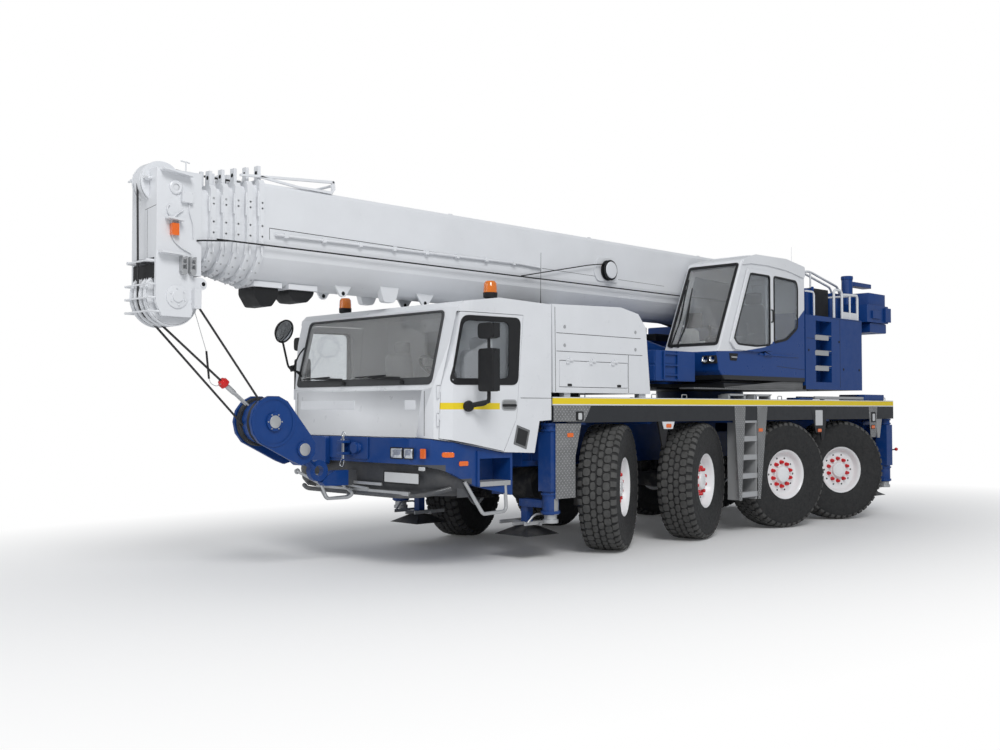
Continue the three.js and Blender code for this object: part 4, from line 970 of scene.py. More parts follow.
def bumper_plan(inset, rear):
    """The bumper's outline from the right flank round the front to the left, moved inwards, its corners
    bent at 120 mm."""
    half = [(rear, -1.33 + inset), (2.48 - inset, -1.3 + inset), (2.64 - inset, -1.15 + inset),
        (2.735 - inset, -0.94 + inset)]
    return rounded(half + [(x, -y) for x, y in half[::-1]], 0.12, 5, False)


section = [(0.045, 1.085), (0.036, 0.95), (0.048, 0.84), (0.085, 0.775), (0.18, 0.748), (0.18, 0.766),
    (0.098, 0.792), (0.066, 0.85), (0.056, 0.95), (0.062, 1.085)]
shell = np.stack([lifted(bumper_plan(o, 2.32), z, "z") for o, z in section], 1)
apron = shell.reshape(-1, 3), grid(shell.shape[0], len(section), False, True)
made("apron", apron, enamel("apron_plastic", (0.055, 0.057, 0.062), 0.45, 0.25, 0.0), "carrier",
    sharp=50)
made("plate_bracket", [bar((2.688, 0.62, 0.9), (2.7353, 0.7, 0.97)),
        bar((2.688, 0.95, 0.9), (2.7353, 1.03, 0.97))], rubber_black, "carrier", 0.004)
strips = [panel([(BAND_FACE, 0.76), (BAND_FACE, 0.8), (2.7, 0.8), (2.7, 0.76)], -0.62, 0.92),
    panel([(BAND_FACE, 0.842), (BAND_FACE, 0.872), (2.715, 0.872), (2.715, 0.842)], -0.66, 0.5),
    panel([(BAND_FACE, 0.905), (BAND_FACE, 0.915), (2.715, 0.915), (2.715, 0.905)], -0.8, -0.1)]
made("apron_strips", strips, cast_silver, "carrier", 0.004)
made("apron_lip", pipe([(2.66, -0.95, 0.775), (2.725, -0.8, 0.752), (2.725, 0.8, 0.752), (2.66, 1.1, 0.775),
        (2.45, 1.24, 0.84)], 0.15, 6, 0.024, 12), enamel("apron_grey", APRON, 0.45, 0.4), "carrier")
jaw = [tube([(2.735, y, 1.215), (2.8, y, 1.215)], 0.06, 20) for y in (-0.1, 0.12)]
jaw += [pad(-0.62, -0.36, 1.02, 1.33, 2.7355, 2.8, "x", 0.05),
    pad(-0.36, 0.3, 1.1, 1.33, 2.7355, 2.752, "x", 0.03), bar((2.752, -0.08, 1.14), (2.86, 0.02, 1.17)),
    bar((2.752, -0.08, 1.26), (2.86, 0.02, 1.29)), turned([(0, -0.02), (0.045, -0.02), (0.045, 0.014),
        (0.02, 0.03), (0, 0.03)], (2.752, 0.16, 1.22), (1, 0, 0), 20)]
made("tow_jaw", jaw, blue_paint, "carrier", 0.008)
tow = [pipe([(2.78, -0.9, 0.93), (2.78, -0.47, 0.815), (2.78, -0.35, 0.665), (2.78, 0.02, 0.7),
        (2.78, 0.1, 0.745), (2.76, -0.18, 0.86), (2.72, -0.3, 0.9)], 0.05, 5, 0.016, 10),
    turned(oblong(0, 0.03, -0.014, 0.014), (2.78, -0.91, 0.933), (0, 1, 0.3), 18),
    tube([(2.745, -0.62, 0.86), (2.745, 0.3, 0.805)], 0.014, 10)]
made("tow_tubes", tow, cast_silver, "carrier")
around = all_round(24)[:, None]
ring_path = np.array([2.81, -0.03, 1.352]) + 0.026 * (np.cos(around) * [0, 1, 0] + np.sin(around)
    * [0, 0, 1])
pin_gear = [tube(ring_path, 0.006, 8, True), pin((2.81, -0.03, 1.1), 0.017, 0, 0.226, (0, 0, 1), 16),
    turned(oblong(0, 0.03, 0, 0.014), (2.81, -0.03, 1.292), (0, 0, 1), 18),
    pipe([(2.815, -0.05, 1.1), (2.815, -0.09, 1.03), (2.815, -0.03, 1.015), (2.815, -0.01, 1.085)], 0.02, 4,
        0.005, 8)]
made("tow_pin", pin_gear, mirror_glass, "carrier", sharp=50)
stirrup = rounded([(2.33, 1.3, 0.9), (2.105, 1.318, 0.585), (2.08, 1.318, 0.57), (1.8, 1.318, 0.578),
        (1.768, 1.318, 0.61), (1.785, 1.318, 0.86)], 0.05, 6, False)
made("foot_stirrups", both(tube(stirrup, 0.019, 12)), cast_silver, "carrier")
made("cab_step_treads", both([pad(1.722, 2.148, 1.085, 1.336, 0.8852, 0.8905, "z", 0.01),
        bar((1.722, 1.3305, 0.843), (2.148, 1.337, 0.8905))]), cast_silver, "carrier", 0.002)

# ---- Engine hood and side hatch ----
# White sheet hood with pressed lines and flush latches, and a hinged hatch low on the
# left; the panels lie on a frame welded to the deck.
skinned("engine_hood", "carrier", white_paint, 0.004, 0.022)
skinned("engine_hatch", "engine_hatch", white_paint, 0.003, 0.006)


def groove(x0, z0, x1, z1, y=1.3402, wide=0.006):
    """A dark joint line as a thin strip between two points of the side."""
    d = np.array([z0 - z1, x1 - x0]) / math.hypot(x1 - x0, z1 - z0) * wide / 2
    return panel([(x0 - d[0], z0 - d[1]), (x1 - d[0], z1 - d[1]), (x1 + d[0], z1 + d[1]),
            (x0 + d[0], z0 + d[1])], y - 0.004, y + 0.0008)


hood_lines = [groove(-0.42, 2.43, 1.03, 2.43), groove(-0.45, 2.235, 1.03, 2.235),
    groove(1.045, 1.8, 1.055, 2.705), groove(-0.19, 1.8, -0.19, 2.235)]
made("hood_lines", both(hood_lines), shut, "carrier")
catches = [turned([(0, -0.002), (0.02, -0.002), (0.02, 0.002), (0.013, 0.003), (0, 0.003)], (x, 1.3405, z),
        (0, 1, 0), 18) for x, z in ((0.9, 2.3), (-0.32, 2.3), (0.9, 2.5), (-0.32, 2.5))]
made("hood_catches", both(catches), cast_silver, "carrier")
rubber_part("hatch_latches", [pad(x - 0.035, x + 0.035, 1.862, 1.888, 1.3403, 1.344, "y", 0.008)
        for x in (-0.02, 0.82)], "engine_hatch", 0.001)
grille = [panel(rounded(oblong(x, x + 0.03, -0.95, 0.95), 0.012, 3), 2.741, 2.781 - 0.002 * k, "z")
    for k, x in enumerate(np.linspace(0.02, 0.92, 15))]
rubber_part("hood_grille", grille, "carrier", 0.003)

# ---- Engine block ----
# One cast block with its covers and pipes, painted grey, on rubber feet between the rails.
cast_grey = enamel("cast_engine", (0.16, 0.17, 0.18), 0.6, 0.5, 0.0)
skinned("engine_block", "carrier", cast_grey, 0.008, 0.02)
made("engine_pipes", [pipe([(x, -0.24, 2.02), (x, -0.34, 2.06), (x, -0.4, 1.96), (x, -0.425, 1.6)], 0.05, 5,
        0.03, 12) for x in (-0.2, 0.0, 0.2, 0.4, 0.6)], cast_silver, "carrier")

# ---- Outriggers: beams, jacks and stowed floats ----
# Box beams that slide out of the frame with a jack tube welded to each end; steel
# floats hang on their holders, and the front beam ends carry chequered mudguards.
beam_paint = enamel("beam_enamel", BLUE, 0.36, 0.25, 0.05,
    zones=((SKIRT_GREY, {"y": (1.3335, 1.4), "x": (0.6, 1.064)}),
        (SKIRT_GREY, {"y": (-1.4, -1.3335), "x": (0.6, 1.064)}),
        ((0.035, 0.036, 0.038), {"z": (0.2, 0.362)})))
for w, cx in (("front", 1.03), ("rear", -6.66)):
    for side, tag in ((1, "l"), (-1, "r")):
        beam, jack = f"outrigger_beam_{w}_{tag}", f"outrigger_jack_{w}_{tag}"
        softened(beam, beam, beam_paint, 0.006)
        softened(jack, jack, cast_silver, 0.004)
        collars = [turned(oblong(0.072, 0.104, z, z + h), (cx, side * 1.25, 0), (0, 0, 1), 32)
            for z, h in ((0.5, 0.03), (0.7, 0.022), (1.376, 0.026), (1.44, 0.024))]
        bolts = [turned([(0, 0), (0.011, 0), (0.011, 0.01), (0, 0.012)],
                (cx + 0.085 * math.cos(a), side * 1.25 + 0.085 * math.sin(a), 1.466), (0, 0, 1), 6)
            for a in np.arange(6) * math.pi / 3]
        made(f"jack_collars_{w}_{tag}", [*collars, *bolts], blue_paint, beam, 0.002)
        y = side * 0.9
        float_bits = [bar((cx - 0.215, y - 0.012, 0.361), (cx + 0.215, y + 0.012, 0.395)),
            bar((cx - 0.012, y - 0.215, 0.361), (cx + 0.012, y + 0.215, 0.395))]
        float_bits += [bar((cx - 0.235, y + s * 0.185 - 0.006, 0.372),
                (cx + 0.235, y + s * 0.185 + 0.006, 0.412)) for s in (1, -1)]
        float_bits.append(pipe([(cx - 0.2, y + side * 0.2, 0.4), (cx - 0.11, y + side * 0.22, 0.49),
                (cx + 0.11, y + side * 0.22, 0.49), (cx + 0.2, y + side * 0.2, 0.4)], 0.05, 5, 0.012, 10))
        made(f"float_frame_{w}_{tag}", float_bits, cast_silver, beam, 0.003)
        if w == "front":
            guard = [(1.0635, 1.46), (0.65, 1.46), (0.75, 1.1), (0.75, 0.66), (1.0635, 0.66)]
            made(f"mudguard_{tag}", sided(panel(guard, 1.3564, 1.359), side), chequer, beam, 0.001)
            made(f"mudguard_lamp_{tag}", sided(lens_at(0.835, 1.335, 1.3592), side), orange_lens, beam,
                0.003)
        hoses = [pipe([(cx + dx, side * 1.13, 1.366), (cx + dx, side * 1.13, 1.5),
                (cx + dx + 0.04, side * 1.02, 1.545), (cx + dx, side * 0.93, 1.4)], 0.05, 5, 0.011, 8)
            for dx in (-0.03, 0.03)]
        rubber_part(f"jack_hoses_{w}_{tag}", hoses, beam)
rubber_part("rear_lever", tube([(-6.83, 1.19, 0.955), (-6.83, 1.355, 0.985)], 0.01, 8), "carrier")
made("rear_lever_knob", turned([(0, -0.028), (0.02, -0.02), (0.028, 0), (0.02, 0.02), (0, 0.028)],
        (-6.83, 1.368, 0.987), (0, 1, 0.15), 18), cap_red, "carrier", sharp=60)
made("rear_lamps", both(pad(0.78, 1.18, 1.5, 1.62, -6.7352, -6.7305, "x", 0.02)),
    enamel("rear_lamp_red", (0.42, 0.008, 0.01), 0.2, 0.2, 0.9), "carrier", 0.003)
made("rear_lamp_amber", both(pad(1.19, 1.3, 1.5, 1.62, -6.7352, -6.7305, "x", 0.02)), orange_lens,
    "carrier", 0.003)

# ---- Superstructure ----
# Welded turntable with the boom cheeks, machinery cabinet and front ballast, sprayed
# blue; pressed doors, steps and a grey walkway are screwed on.
CABINET_SIDE = 1.3002
upper_paint = enamel("upper_enamel", BLUE, 0.34, 0.03, 0.1,
    zones=(((0.02, 0.021, 0.023), {"z": (1.8, 1.9495), "y": (-1.3, 1.3)}),))
skinned("superstructure", "superstructure", upper_paint, 0.005, 0.014, 0.05)
UPPER = "superstructure"
cabinet_joints = [groove(-5.2, 1.93, -5.2, 2.93, CABINET_SIDE),
    groove(-4.24, 2.62, -4.46, 2.62, CABINET_SIDE), groove(-4.9, 2.935, -5.85, 2.935, CABINET_SIDE, 0.004)]
made("cabinet_lines", cabinet_joints, shut, UPPER)
treads = [joined(pad(-4.855, -4.475, z - 0.036, z + 0.03, 1.2905, 1.306, "y", 0.006),
        bar((-4.945, 1.12, z + 0.0305), (-4.51, 1.3, z + 0.038))) for z in (2.2, 2.42, 2.64)]
made("cabinet_treads", treads, cast_silver, UPPER, 0.003)
catches = [turned([(0, -0.002), (0.018, -0.002), (0.018, 0.003), (0.01, 0.004), (0, 0.004)], (x, 1.3004, z),
        (0, 1, 0), 16) for x, z in ((-5.17, 2.6), (-5.3, 2.2), (-5.78, 2.2), (-4.3, 2.45))]
rubber_part("cabinet_catches", catches, UPPER)
walk = [bar((-4.2, 1.1, 1.865), (-1.5, 1.315, 1.883)), panel([(-2.25, 1.883), (-2.25, 1.897), (-4.18, 2.03),
        (-4.18, 1.883)], 1.262, 1.27)]
made("upper_walkway", walk, tread_sheet("walkway_plate", (0.3, 0.305, 0.31)), UPPER, 0.002)
made("walkway_brackets", [bar((x - 0.03, 0.8, 1.868), (x + 0.03, 1.2, 1.8945)) for x in (-2.4, -3.2, -4.0)],
    black_iron, UPPER, 0.003)

# ballast stack in front of the cab: two slabs a side with a lifting rail
stack = []
for z0, z1 in ((1.962, 2.15), (2.162, 2.332)):
    stack.append(panel(rounded(oblong(-1.765, -0.945, -1.152, 1.152), 0.03, 4), z0, z1, "z"))
made("front_ballast_slabs", stack, blue_paint, UPPER, 0.012)
rails = [pipe([(-0.944, s * 0.66, 2.02), (-0.925, s * 0.66, 2.03), (-0.925, s * 0.66, 2.28),
        (-0.944, s * 0.66, 2.29)], 0.01, 3, 0.014, 10) for s in (1, 0.45, -0.45, -1)]
rails += [tube([(-1.1 - 0.28 * k, 1.166, 1.98), (-1.1 - 0.28 * k, 1.166, 2.32)], 0.013, 10)
    for k in range(2)] + [tube([(-1.1, 1.166, z), (-1.38, 1.166, z)], 0.013, 10)
    for z in (2.03, 2.15, 2.29)]
made("ballast_rails", rails, blue_paint, UPPER, sharp=50)

# cheeks: stiffening ribs, pivot caps and valve block
BOOM_PIVOT = (-5.3, 0, 3.15)
ribs = [bar((x - 0.012, 0.426, low), (x + 0.012, 0.47, high))
    for x, low, high in ((-2.45, 1.97, 2.16), (-3.2, 1.97, 2.46), (-5.15, 2.62, 3.36))]
ribs.append(turned([(0, 0.426), (0.13, 0.426), (0.13, 0.445), (0.1, 0.452), (0, 0.452)], BOOM_PIVOT,
        (0, 1, 0), 32))
made("cheek_ribs", both(ribs), blue_paint, UPPER, 0.003)
made("valve_block", [bar((-3.05, -1.0, 2.601), (-2.75, -0.6, 2.8)),
        bar((-3.6, -0.95, 2.601), (-3.2, -0.55, 2.72)),
        *[turned(oblong(0, 0.022, 0, 0.09), (-2.98 + 0.06 * k, -0.98 + 0.3 * (k % 2), 2.8), (0, 0, 1), 14)
        for k in range(4)]], black_iron, UPPER, 0.006)
hoses = [pipe([(-3.0 + 0.05 * k, -0.8, 2.8), (-3.0 + 0.05 * k, -0.8, 2.92 + 0.02 * k),
        (-3.4, -0.62, 2.9 + 0.02 * k), (-4.2, -0.55, 2.7 + 0.03 * k), (-4.8, -0.5, 2.62)], 0.15, 6, 0.014,
        8) for k in range(3)]
rubber_part("upper_hoses", hoses, UPPER)
made("oil_tank", [panel(rounded(oblong(-5.45, -3.75, -1.14, -0.6), 0.06, 5), 2.6015, 2.86, "z"),
        turned([(0, 0), (0.06, 0), (0.06, 0.05), (0, 0.055)], (-4.1, -0.88, 2.86), (0, 0, 1), 20)],
    blue_paint, UPPER, 0.015)

# ---- Cooler, handrails and aerial on the cabinet ----
# Black cooler core in a blue casing behind the cab; white tube rails guard the cabinet
# roof, and a thin whip aerial stands by the cab's rear edge.
CABINET_TOP = 2.951
core = bar((-5.55, 0.5, 2.952), (-5.03, 0.93, 3.42))
made("cooler_core", core, rubber_black, UPPER, 0.01)
fins = [bar((-5.52 + 0.02 * k, 0.9305, 2.99), (-5.512 + 0.02 * k, 0.936, 3.38)) for k in range(25)]
made("cooler_fins", fins, black_iron, UPPER)
made("cooler_casing", [bar((-5.02, 0.52, 2.952), (-4.86, 0.95, 3.4)),
        bar((-5.8, 0.5, 2.952), (-5.56, 0.95, 3.3)), bar((-5.02, 0.95, 2.952), (-4.98, 0.99, 3.43))],
    blue_paint, UPPER, 0.012)
rails = [pipe([(-5.12, 1.25, CABINET_TOP), (-5.12, 1.25, 3.375), (-5.36, 1.25, 3.375),
        (-5.36, 1.25, CABINET_TOP)], 0.08, 6, 0.019, 12),
    pipe([(-5.36, 1.25, 3.315), (-5.835, 1.25, 3.335), (-5.835, 1.25, CABINET_TOP)], 0.06, 5, 0.019, 12),
    tube([(-5.6, 1.25, CABINET_TOP), (-5.6, 1.25, 3.325)], 0.015, 10),
    pipe([(-5.835, 1.25, 3.335), (-5.835, 0.55, 3.335), (-5.835, 0.55, CABINET_TOP)], 0.06, 5, 0.017, 10),
    pipe([(-4.6, 1.22, CABINET_TOP), (-4.6, 1.22, 3.3), (-4.36, 1.22, 3.3)], 0.06, 5, 0.014, 10),
    bar((-5.835, 1.243, CABINET_TOP), (-5.38, 1.257, 3.06))]
made("cabinet_rails", rails, white_paint, UPPER, sharp=50)
high_rails = [pipe([(-4.6, y, 3.45), (-5.1, y, 3.66), (-5.55, y, 3.745), (-6.45, y, 3.565),
        (-6.52, y, 3.45)], 0.12, 6, 0.018, 12) for y in (0.47, 0.6)]
high_rails += [tube([(x, y, CABINET_TOP if x > -5.8 else 3.232), (x, y, z)], 0.014, 10)
    for x, z in ((-4.62, 3.46), (-5.6, 3.735)) for y in (0.47, 0.6)]
made("boom_guard_rails", high_rails, white_paint, UPPER, sharp=50)
made("upper_aerial", turned([(0, 0), (0.016, 0), (0.012, 0.03), (0.003, 0.06), (0.002, 0.295), (0, 0.298)],
        (-4.02, 1.2, 3.6), (-0.02, 0, 1), 10), white_paint, UPPER)

# ---- Crane cab ----
# White upper frame over a blue skirt with a curved border; bonded panes, twin wipers,
# work lamps in a black panel, and a sprung seat at the levers.
BORDER = ((-2.0, 2.35), (-2.6, 2.372), (-3.1, 2.442), (-3.55, 2.585), (-3.9, 2.785), (-4.25, 3.06))


def two_tone(name, upper, lower, border, black):
    """White over blue: a straight fall between border points gives the height of the change at each
    station; below the last height all is black."""
    m = enamel(name, upper, 0.3, 0.03, 0.2)
    tree = m.node_tree
    shader = tree.nodes["Principled BSDF"]
    where = next(n for n in tree.nodes if n.type == "TEX_COORD").outputs["Object"]
    parts = tree.nodes.new("ShaderNodeSeparateXYZ")
    tree.links.new(where, parts.inputs[0])
    height = None
    for (x0, z0), (x1, z1) in zip(border, border[1:]):
        piece = spread(tree, parts.outputs["X"], x1 + FRONT_AXLE, x0 + FRONT_AXLE, z1, z0)
        height = piece if height is None else sums(tree, "ADD", height, sums(tree, "SUBTRACT", piece, z0))
    was = shader.inputs["Base Color"].links[0].from_socket
    low = tinted(tree, sums(tree, "GREATER_THAN", parts.outputs["Z"], height), lower, was)
    tree.links.new(tinted(tree, sums(tree, "GREATER_THAN", parts.outputs["Z"], black), (0.02, 0.021, 0.023),
            low), shader.inputs["Base Color"])
    return m


crane_paint = two_tone("crane_cab_enamel", WHITE, BLUE, BORDER, 2.052)
skinned("crane_cab", UPPER, crane_paint, 0.004, 0.03, 0.05)
FRONT_LOW, FRONT_TOP = np.array([-2.085, 2.42]), np.array([-2.62, 3.575])
slope = (FRONT_TOP - FRONT_LOW) / np.linalg.norm(FRONT_TOP - FRONT_LOW)


def on_crane_front(flat, proud):
    """(y, distance up the slope) points on the sloping front: foot + v along the slope + proud outwards."""
    flat = np.asarray(flat, float)
    return np.stack([FRONT_LOW[0] + slope[0] * flat[:, 1] + slope[1] * proud, flat[:, 0],
            FRONT_LOW[1] + slope[1] * flat[:, 1] - slope[0] * proud], 1)


def on_crane_side(flat, proud):
    """(x, z) points on the cab's outer side, this far outside it."""
    return lifted(flat, 1.3 + proud, "y")


shield = rounded(oblong(0.475, 1.27, 0.01, 1.225), 0.05, 5)
rubber_part("crane_screen_seal", hoop(shield, shrunk(shield, 0.04), on_crane_front, -0.004, 0.008), UPPER,
    0.003)
made("crane_screen", slab(shrunk(shield, 0.03), on_crane_front, -0.02, -0.014), screen_glass, UPPER)
crane_arms = [pipe(on_crane_front([(0.56, 0.02), (0.6, 0.42), (0.55, 0.86)], 0.03), 0.08, 5, 0.01, 8),
    tube(on_crane_front([(0.585, 0.3), (0.545, 1.02)], 0.02), 0.009, 8),
    pipe(on_crane_front([(0.66, 0.02), (0.72, 0.34), (0.66, 0.74)], 0.03), 0.08, 5, 0.01, 8),
    tube(on_crane_front([(0.7, 0.22), (0.64, 0.88)], 0.02), 0.009, 8)]
crane_arms += [turned([(0, -0.01), (0.022, -0.01), (0.022, 0.03), (0, 0.034)],
        on_crane_front([(y, 0.02)], 0.0)[0], (slope[1], 0, -slope[0]), 16) for y in (0.56, 0.66)]
rubber_part("crane_wipers", crane_arms, UPPER)
rear_pane = rounded([(-3.375, 2.5), (-3.375, 3.425), (-3.975, 3.405), (-4.02, 3.31), (-4.01, 2.735),
        (-3.715, 2.555)], 0.06, 5)
rubber_part("crane_rear_pane_seal", hoop(rear_pane, shrunk(rear_pane, 0.03), on_crane_side, -0.004, 0.005),
    UPPER, 0.002)
made("crane_rear_pane", slab(shrunk(rear_pane, 0.022), on_crane_side, -0.016, -0.01), dark_glass, UPPER)
boom_pane = rounded([(-2.3, 2.5), (-2.715, 3.445), (-3.98, 3.405), (-3.98, 2.58)], 0.06, 5)
made("crane_boom_pane", slab(boom_pane, lambda f, h: lifted(f, 0.445 + h, "y"), 0.015, 0.021), dark_glass,
    UPPER)
made("roof_pane_frame", panel(rounded(oblong(-3.6, -2.95, 0.55, 1.2), 0.08, 5), 3.66, 3.674, "z"),
    white_paint, UPPER, 0.005)
brow = [(-2.6, 3.5), (-2.63, 3.585), (-2.92, 3.668), (-3.7, 3.68), (-4.185, 3.612), (-4.185, 3.47),
    (-4.14, 3.452), (-3.7, 3.52), (-3.2, 3.545), (-2.8, 3.535)]
made("crane_roof_brow", panel(rounded(brow, 0.03, 4), 1.3005, 1.318), white_paint, UPPER, 0.008)
work_panel = pad(1.065, 1.285, 2.195, 2.31, -2.086, -2.04, "x", 0.02)
rubber_part("work_lamp_panel", work_panel, UPPER, 0.004)
reflector = [(0, 0.006), (0.018, 0.002), (0.036, 0.012), (0.042, 0.018), (0.042, 0.0), (0, 0.0)]
made("work_lamps", [turned(reflector, (-2.04, y, 2.255), (1, 0, 0), 24) for y in (1.118, 1.228)],
    mirror_glass, UPPER, sharp=50)
side_box = rounded([(-2.3, 2.335), (-2.505, 2.335), (-2.47, 2.24), (-2.32, 2.24)], 0.012, 3)
rubber_part("side_recess", slab(side_box, on_crane_side, 0.0004, 0.003), UPPER)
made("side_recess_grip", tube([(-2.34, 1.308, 2.285), (-2.46, 1.308, 2.285)], 0.012, 10), cast_silver,
    UPPER)
cab_lines = [groove(-3.45, 2.195, -4.185, 2.165, CABINET_SIDE, 0.005),
    groove(-2.1, 2.35, -2.03, 2.35, CABINET_SIDE, 0.004)]
made("crane_cab_lines", cab_lines, shut, UPPER)
grab = rounded([(-4.215, 1.15, 2.3), (-4.255, 1.2, 2.36), (-4.255, 1.2, 3.0), (-4.215, 1.15, 3.06)], 0.04,
    4, False)
made("crane_cab_grab", tube(grab, 0.014, 10), white_paint, UPPER)

# ---- Crane cab door ----
# Sliding door hung on a side rail; a bonded pane fills its white frame.
softened("crane_cab_door", "crane_cab_door", two_tone("crane_door_enamel", WHITE, BLUE, BORDER, 1.0), 0.004)
door_pane = rounded([(-2.345, 2.515), (-2.745, 3.418), (-3.245, 3.418), (-3.245, 2.458), (-2.9, 2.428),
        (-2.44, 2.438)], 0.05, 5)
made("crane_door_pane", slab(door_pane, on_crane_side, 0.016, 0.022), dark_glass, "crane_cab_door")
inner_rim = shrunk(rounded([(-2.36, 2.53), (-2.755, 3.405), (-3.235, 3.405), (-3.235, 2.47), (-2.9, 2.44),
        (-2.45, 2.45)], 0.05, 5), -0.006)
rubber_part("crane_door_seal", hoop(inner_rim, shrunk(inner_rim, 0.024), on_crane_side, 0.0225, 0.0385),
    "crane_cab_door", 0.002)
rubber_part("crane_door_handle", pipe([(-3.262, 1.337, 2.78), (-3.262, 1.362, 2.79), (-3.262, 1.362, 2.94),
        (-3.262, 1.337, 2.95)], 0.015, 4, 0.009, 8), "crane_cab_door")

# ---- Crane seat and controls ----
# Sprung operator's seat with stuffed black cushions, an armrest box and joystick on
# each side, and a grey instrument column with a screen.
cloth_dark = seat_cloth("crane_seat_cloth", (0.06, 0.062, 0.068))
SEAT_Y = 0.8725
seat_frame = [bar((-3.44, SEAT_Y - 0.15, 2.112), (-3.09, SEAT_Y + 0.15, 2.3)),
    bar((-3.47, SEAT_Y - 0.19, 2.4), (-3.03, SEAT_Y + 0.19, 2.455)),
    *[tube([(-3.42, SEAT_Y + s * 0.16, 2.3), (-3.1, SEAT_Y + s * 0.16, 2.41)], 0.014, 8) for s in (1, -1)]]
for s in (1, -1):
    seat_frame.append(panel(rounded([(-3.44, 2.46), (-2.86, 2.5), (-2.86, 2.58), (-3.1, 2.64),
            (-3.44, 2.62)], 0.03, 4), SEAT_Y + s * 0.29 - 0.038, SEAT_Y + s * 0.29 + 0.038))
    seat_frame.append(turned([(0, 0), (0.03, 0), (0.018, 0.02), (0.01, 0.09), (0.022, 0.12), (0.024, 0.16),
            (0.014, 0.18), (0, 0.185)], (-2.93, SEAT_Y + s * 0.29, 2.59), (0.1, 0, 1), 16))
frame_obj = made("crane_seat_frame", seat_frame, mat_dark, UPPER, 0.006)
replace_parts(frame_obj, "crane_seat")
for part, form in {"base": cushion((-3.25, SEAT_Y, 2.525), (0.255, 0.235, 0.07), 0.02, 0.035,
        (-0.4, 0.0, 0.4)), "back": cushion((-3.515, SEAT_Y, 2.79), (0.29, 0.225, 0.06), 0.018, 0.035,
        (-0.3, 0.2), lean=math.radians(-83)), "head": cushion((-3.555, SEAT_Y, 3.15), (0.09, 0.13, 0.042),
        0.012, 0.03, (), 4.0, math.radians(-84))}.items():
    made(f"crane_seat_{part}", form, cloth_dark, UPPER, sharp=60)
column = [panel(rounded([(-2.62, 2.112), (-2.42, 2.112), (-2.36, 2.62), (-2.44, 2.7), (-2.56, 2.66)], 0.03,
        4), 0.5, 0.66), panel(rounded([(-2.7, 2.112), (-2.35, 2.112), (-2.3, 2.26), (-2.36, 2.3),
        (-2.66, 2.22)], 0.03, 4), 0.66, 1.2)]
made("crane_dash", column, cabin_grey, UPPER, 0.012)
made("crane_screen_unit", [pad(0.5, 0.74, 2.7, 2.9, -2.53, -2.49, "x", 0.02),
        bar((-2.5, 0.56, 2.6), (-2.47, 0.62, 2.72))], mat_dark, UPPER, 0.006)
made("crane_headliner", bar((-4.14, 0.49, 3.4), (-4.1, 1.255, 3.5)), cabin_grey, UPPER, 0.004)

# ---- Winch ----
# Grooved rope drum between flanges; the steel rope lies on it turn beside turn.
DRUM = (-5.96, 2.48)
softened("winch", "winch", blue_paint, 0.005)
turns = 26
a = np.linspace(0, 2 * np.pi * turns, turns * 28)
coil = np.stack([DRUM[0] + 0.203 * np.cos(a), -0.312 + 0.624 * a / a[-1], DRUM[1] + 0.203 * np.sin(a)], 1)
rope_steel = mottled("rope_steel", (320.0, 3.0, 0.6), ((0.03, 0.03, 0.032), (0.085, 0.083, 0.08)),
    (0.42, 0.62), {"Metallic": 0.6}, (0.6, 0.002))
made("drum_rope", tube(coil, 0.0115, 8), rope_steel, "winch", sharp=60)

# ---- Rear counterweight ----
# Cast slabs pinned to the turntable tail, with two lifting cylinders, an arm and
# lifting eyes, all in the machine's blue.
skinned("counterweight", UPPER, blue_paint, 0.006, 0.025, 0.05)
tail = [turned([(0, 0.0), (0.092, 0.0), (0.092, 0.05), (0.085, 0.055), (0, 0.055)], (-6.23, 0.88, 3.64),
        (0, 0, 1), 32), turned(oblong(0.085, 0.1, 3.24, 3.27), (-6.23, 0.88, 0), (0, 0, 1), 32),
    panel(rounded(oblong(-6.3, -6.9, 0.8, 0.96), 0.04, 4), 3.545, 3.61, "z"),
    bar((-6.88, 1.251, 2.98), (-6.7, 1.285, 3.2)), bar((-6.55, 1.251, 3.02), (-6.3, 1.275, 3.14)),
    panel(rounded(oblong(-6.84, -6.3, 2.805, 2.955), 0.03, 4), 0.7, 1.22),
    bar((-6.86, 0.1, 3.421), (-6.3, 0.6, 3.46))]
made("counterweight_fittings", both(tail), blue_paint, UPPER, 0.008)

# ---- Luffing cylinder ----
# Blue barrel with a gland ring and hose blocks; the rod is ground and hard-chromed.
softened("luff_barrel", "luff_barrel", blue_paint, 0.006)
softened("luff_rod", "luff_rod", mirror_glass, 0.003, 40)
barrel_foot, rod_eye = np.array([-4.0, 0, 2.1]), np.array([-0.75, 0, 2.7])
reach = np.linalg.norm(rod_eye - barrel_foot)
run = (rod_eye - barrel_foot) / reach
rings = [turned(oblong(0.13, 0.146, s, s + w), barrel_foot, run, 36)
    for s, w in ((0.26, 0.05), (reach - 0.42, 0.085))]
rings.append(turned([(0.0855, reach - 0.335), (0.118, reach - 0.335), (0.112, reach - 0.315),
        (0.0855, reach - 0.312)], barrel_foot, run, 36))
made("luff_rings", rings, blue_paint, "luff_barrel", 0.002)
pipe_route = barrel_foot + run * np.array([[0.4], [0.45], [2.45], [2.52]]) + np.array([[0, 0, -0.13],
        [0, 0, -0.158], [0, 0, -0.158], [0, 0, -0.13]])
rubber_part("luff_pipe", pipe(pipe_route, 0.03, 4, 0.013, 10), "luff_barrel")

# ---- Boom base ----
# Two bent shells welded along the flank, sprayed white; a stiff collar closes the nose
# and holds the wear pads, and rubber rests and cast lugs hang below.
REEL_AT = (-0.985, 0, 3.363)
BOOM_HALF, BOOM_LOW, BOOM_TOP, NOSE, STEP, PITCH = 0.35, 2.8, 3.75, 4.09, 0.025, 0.113


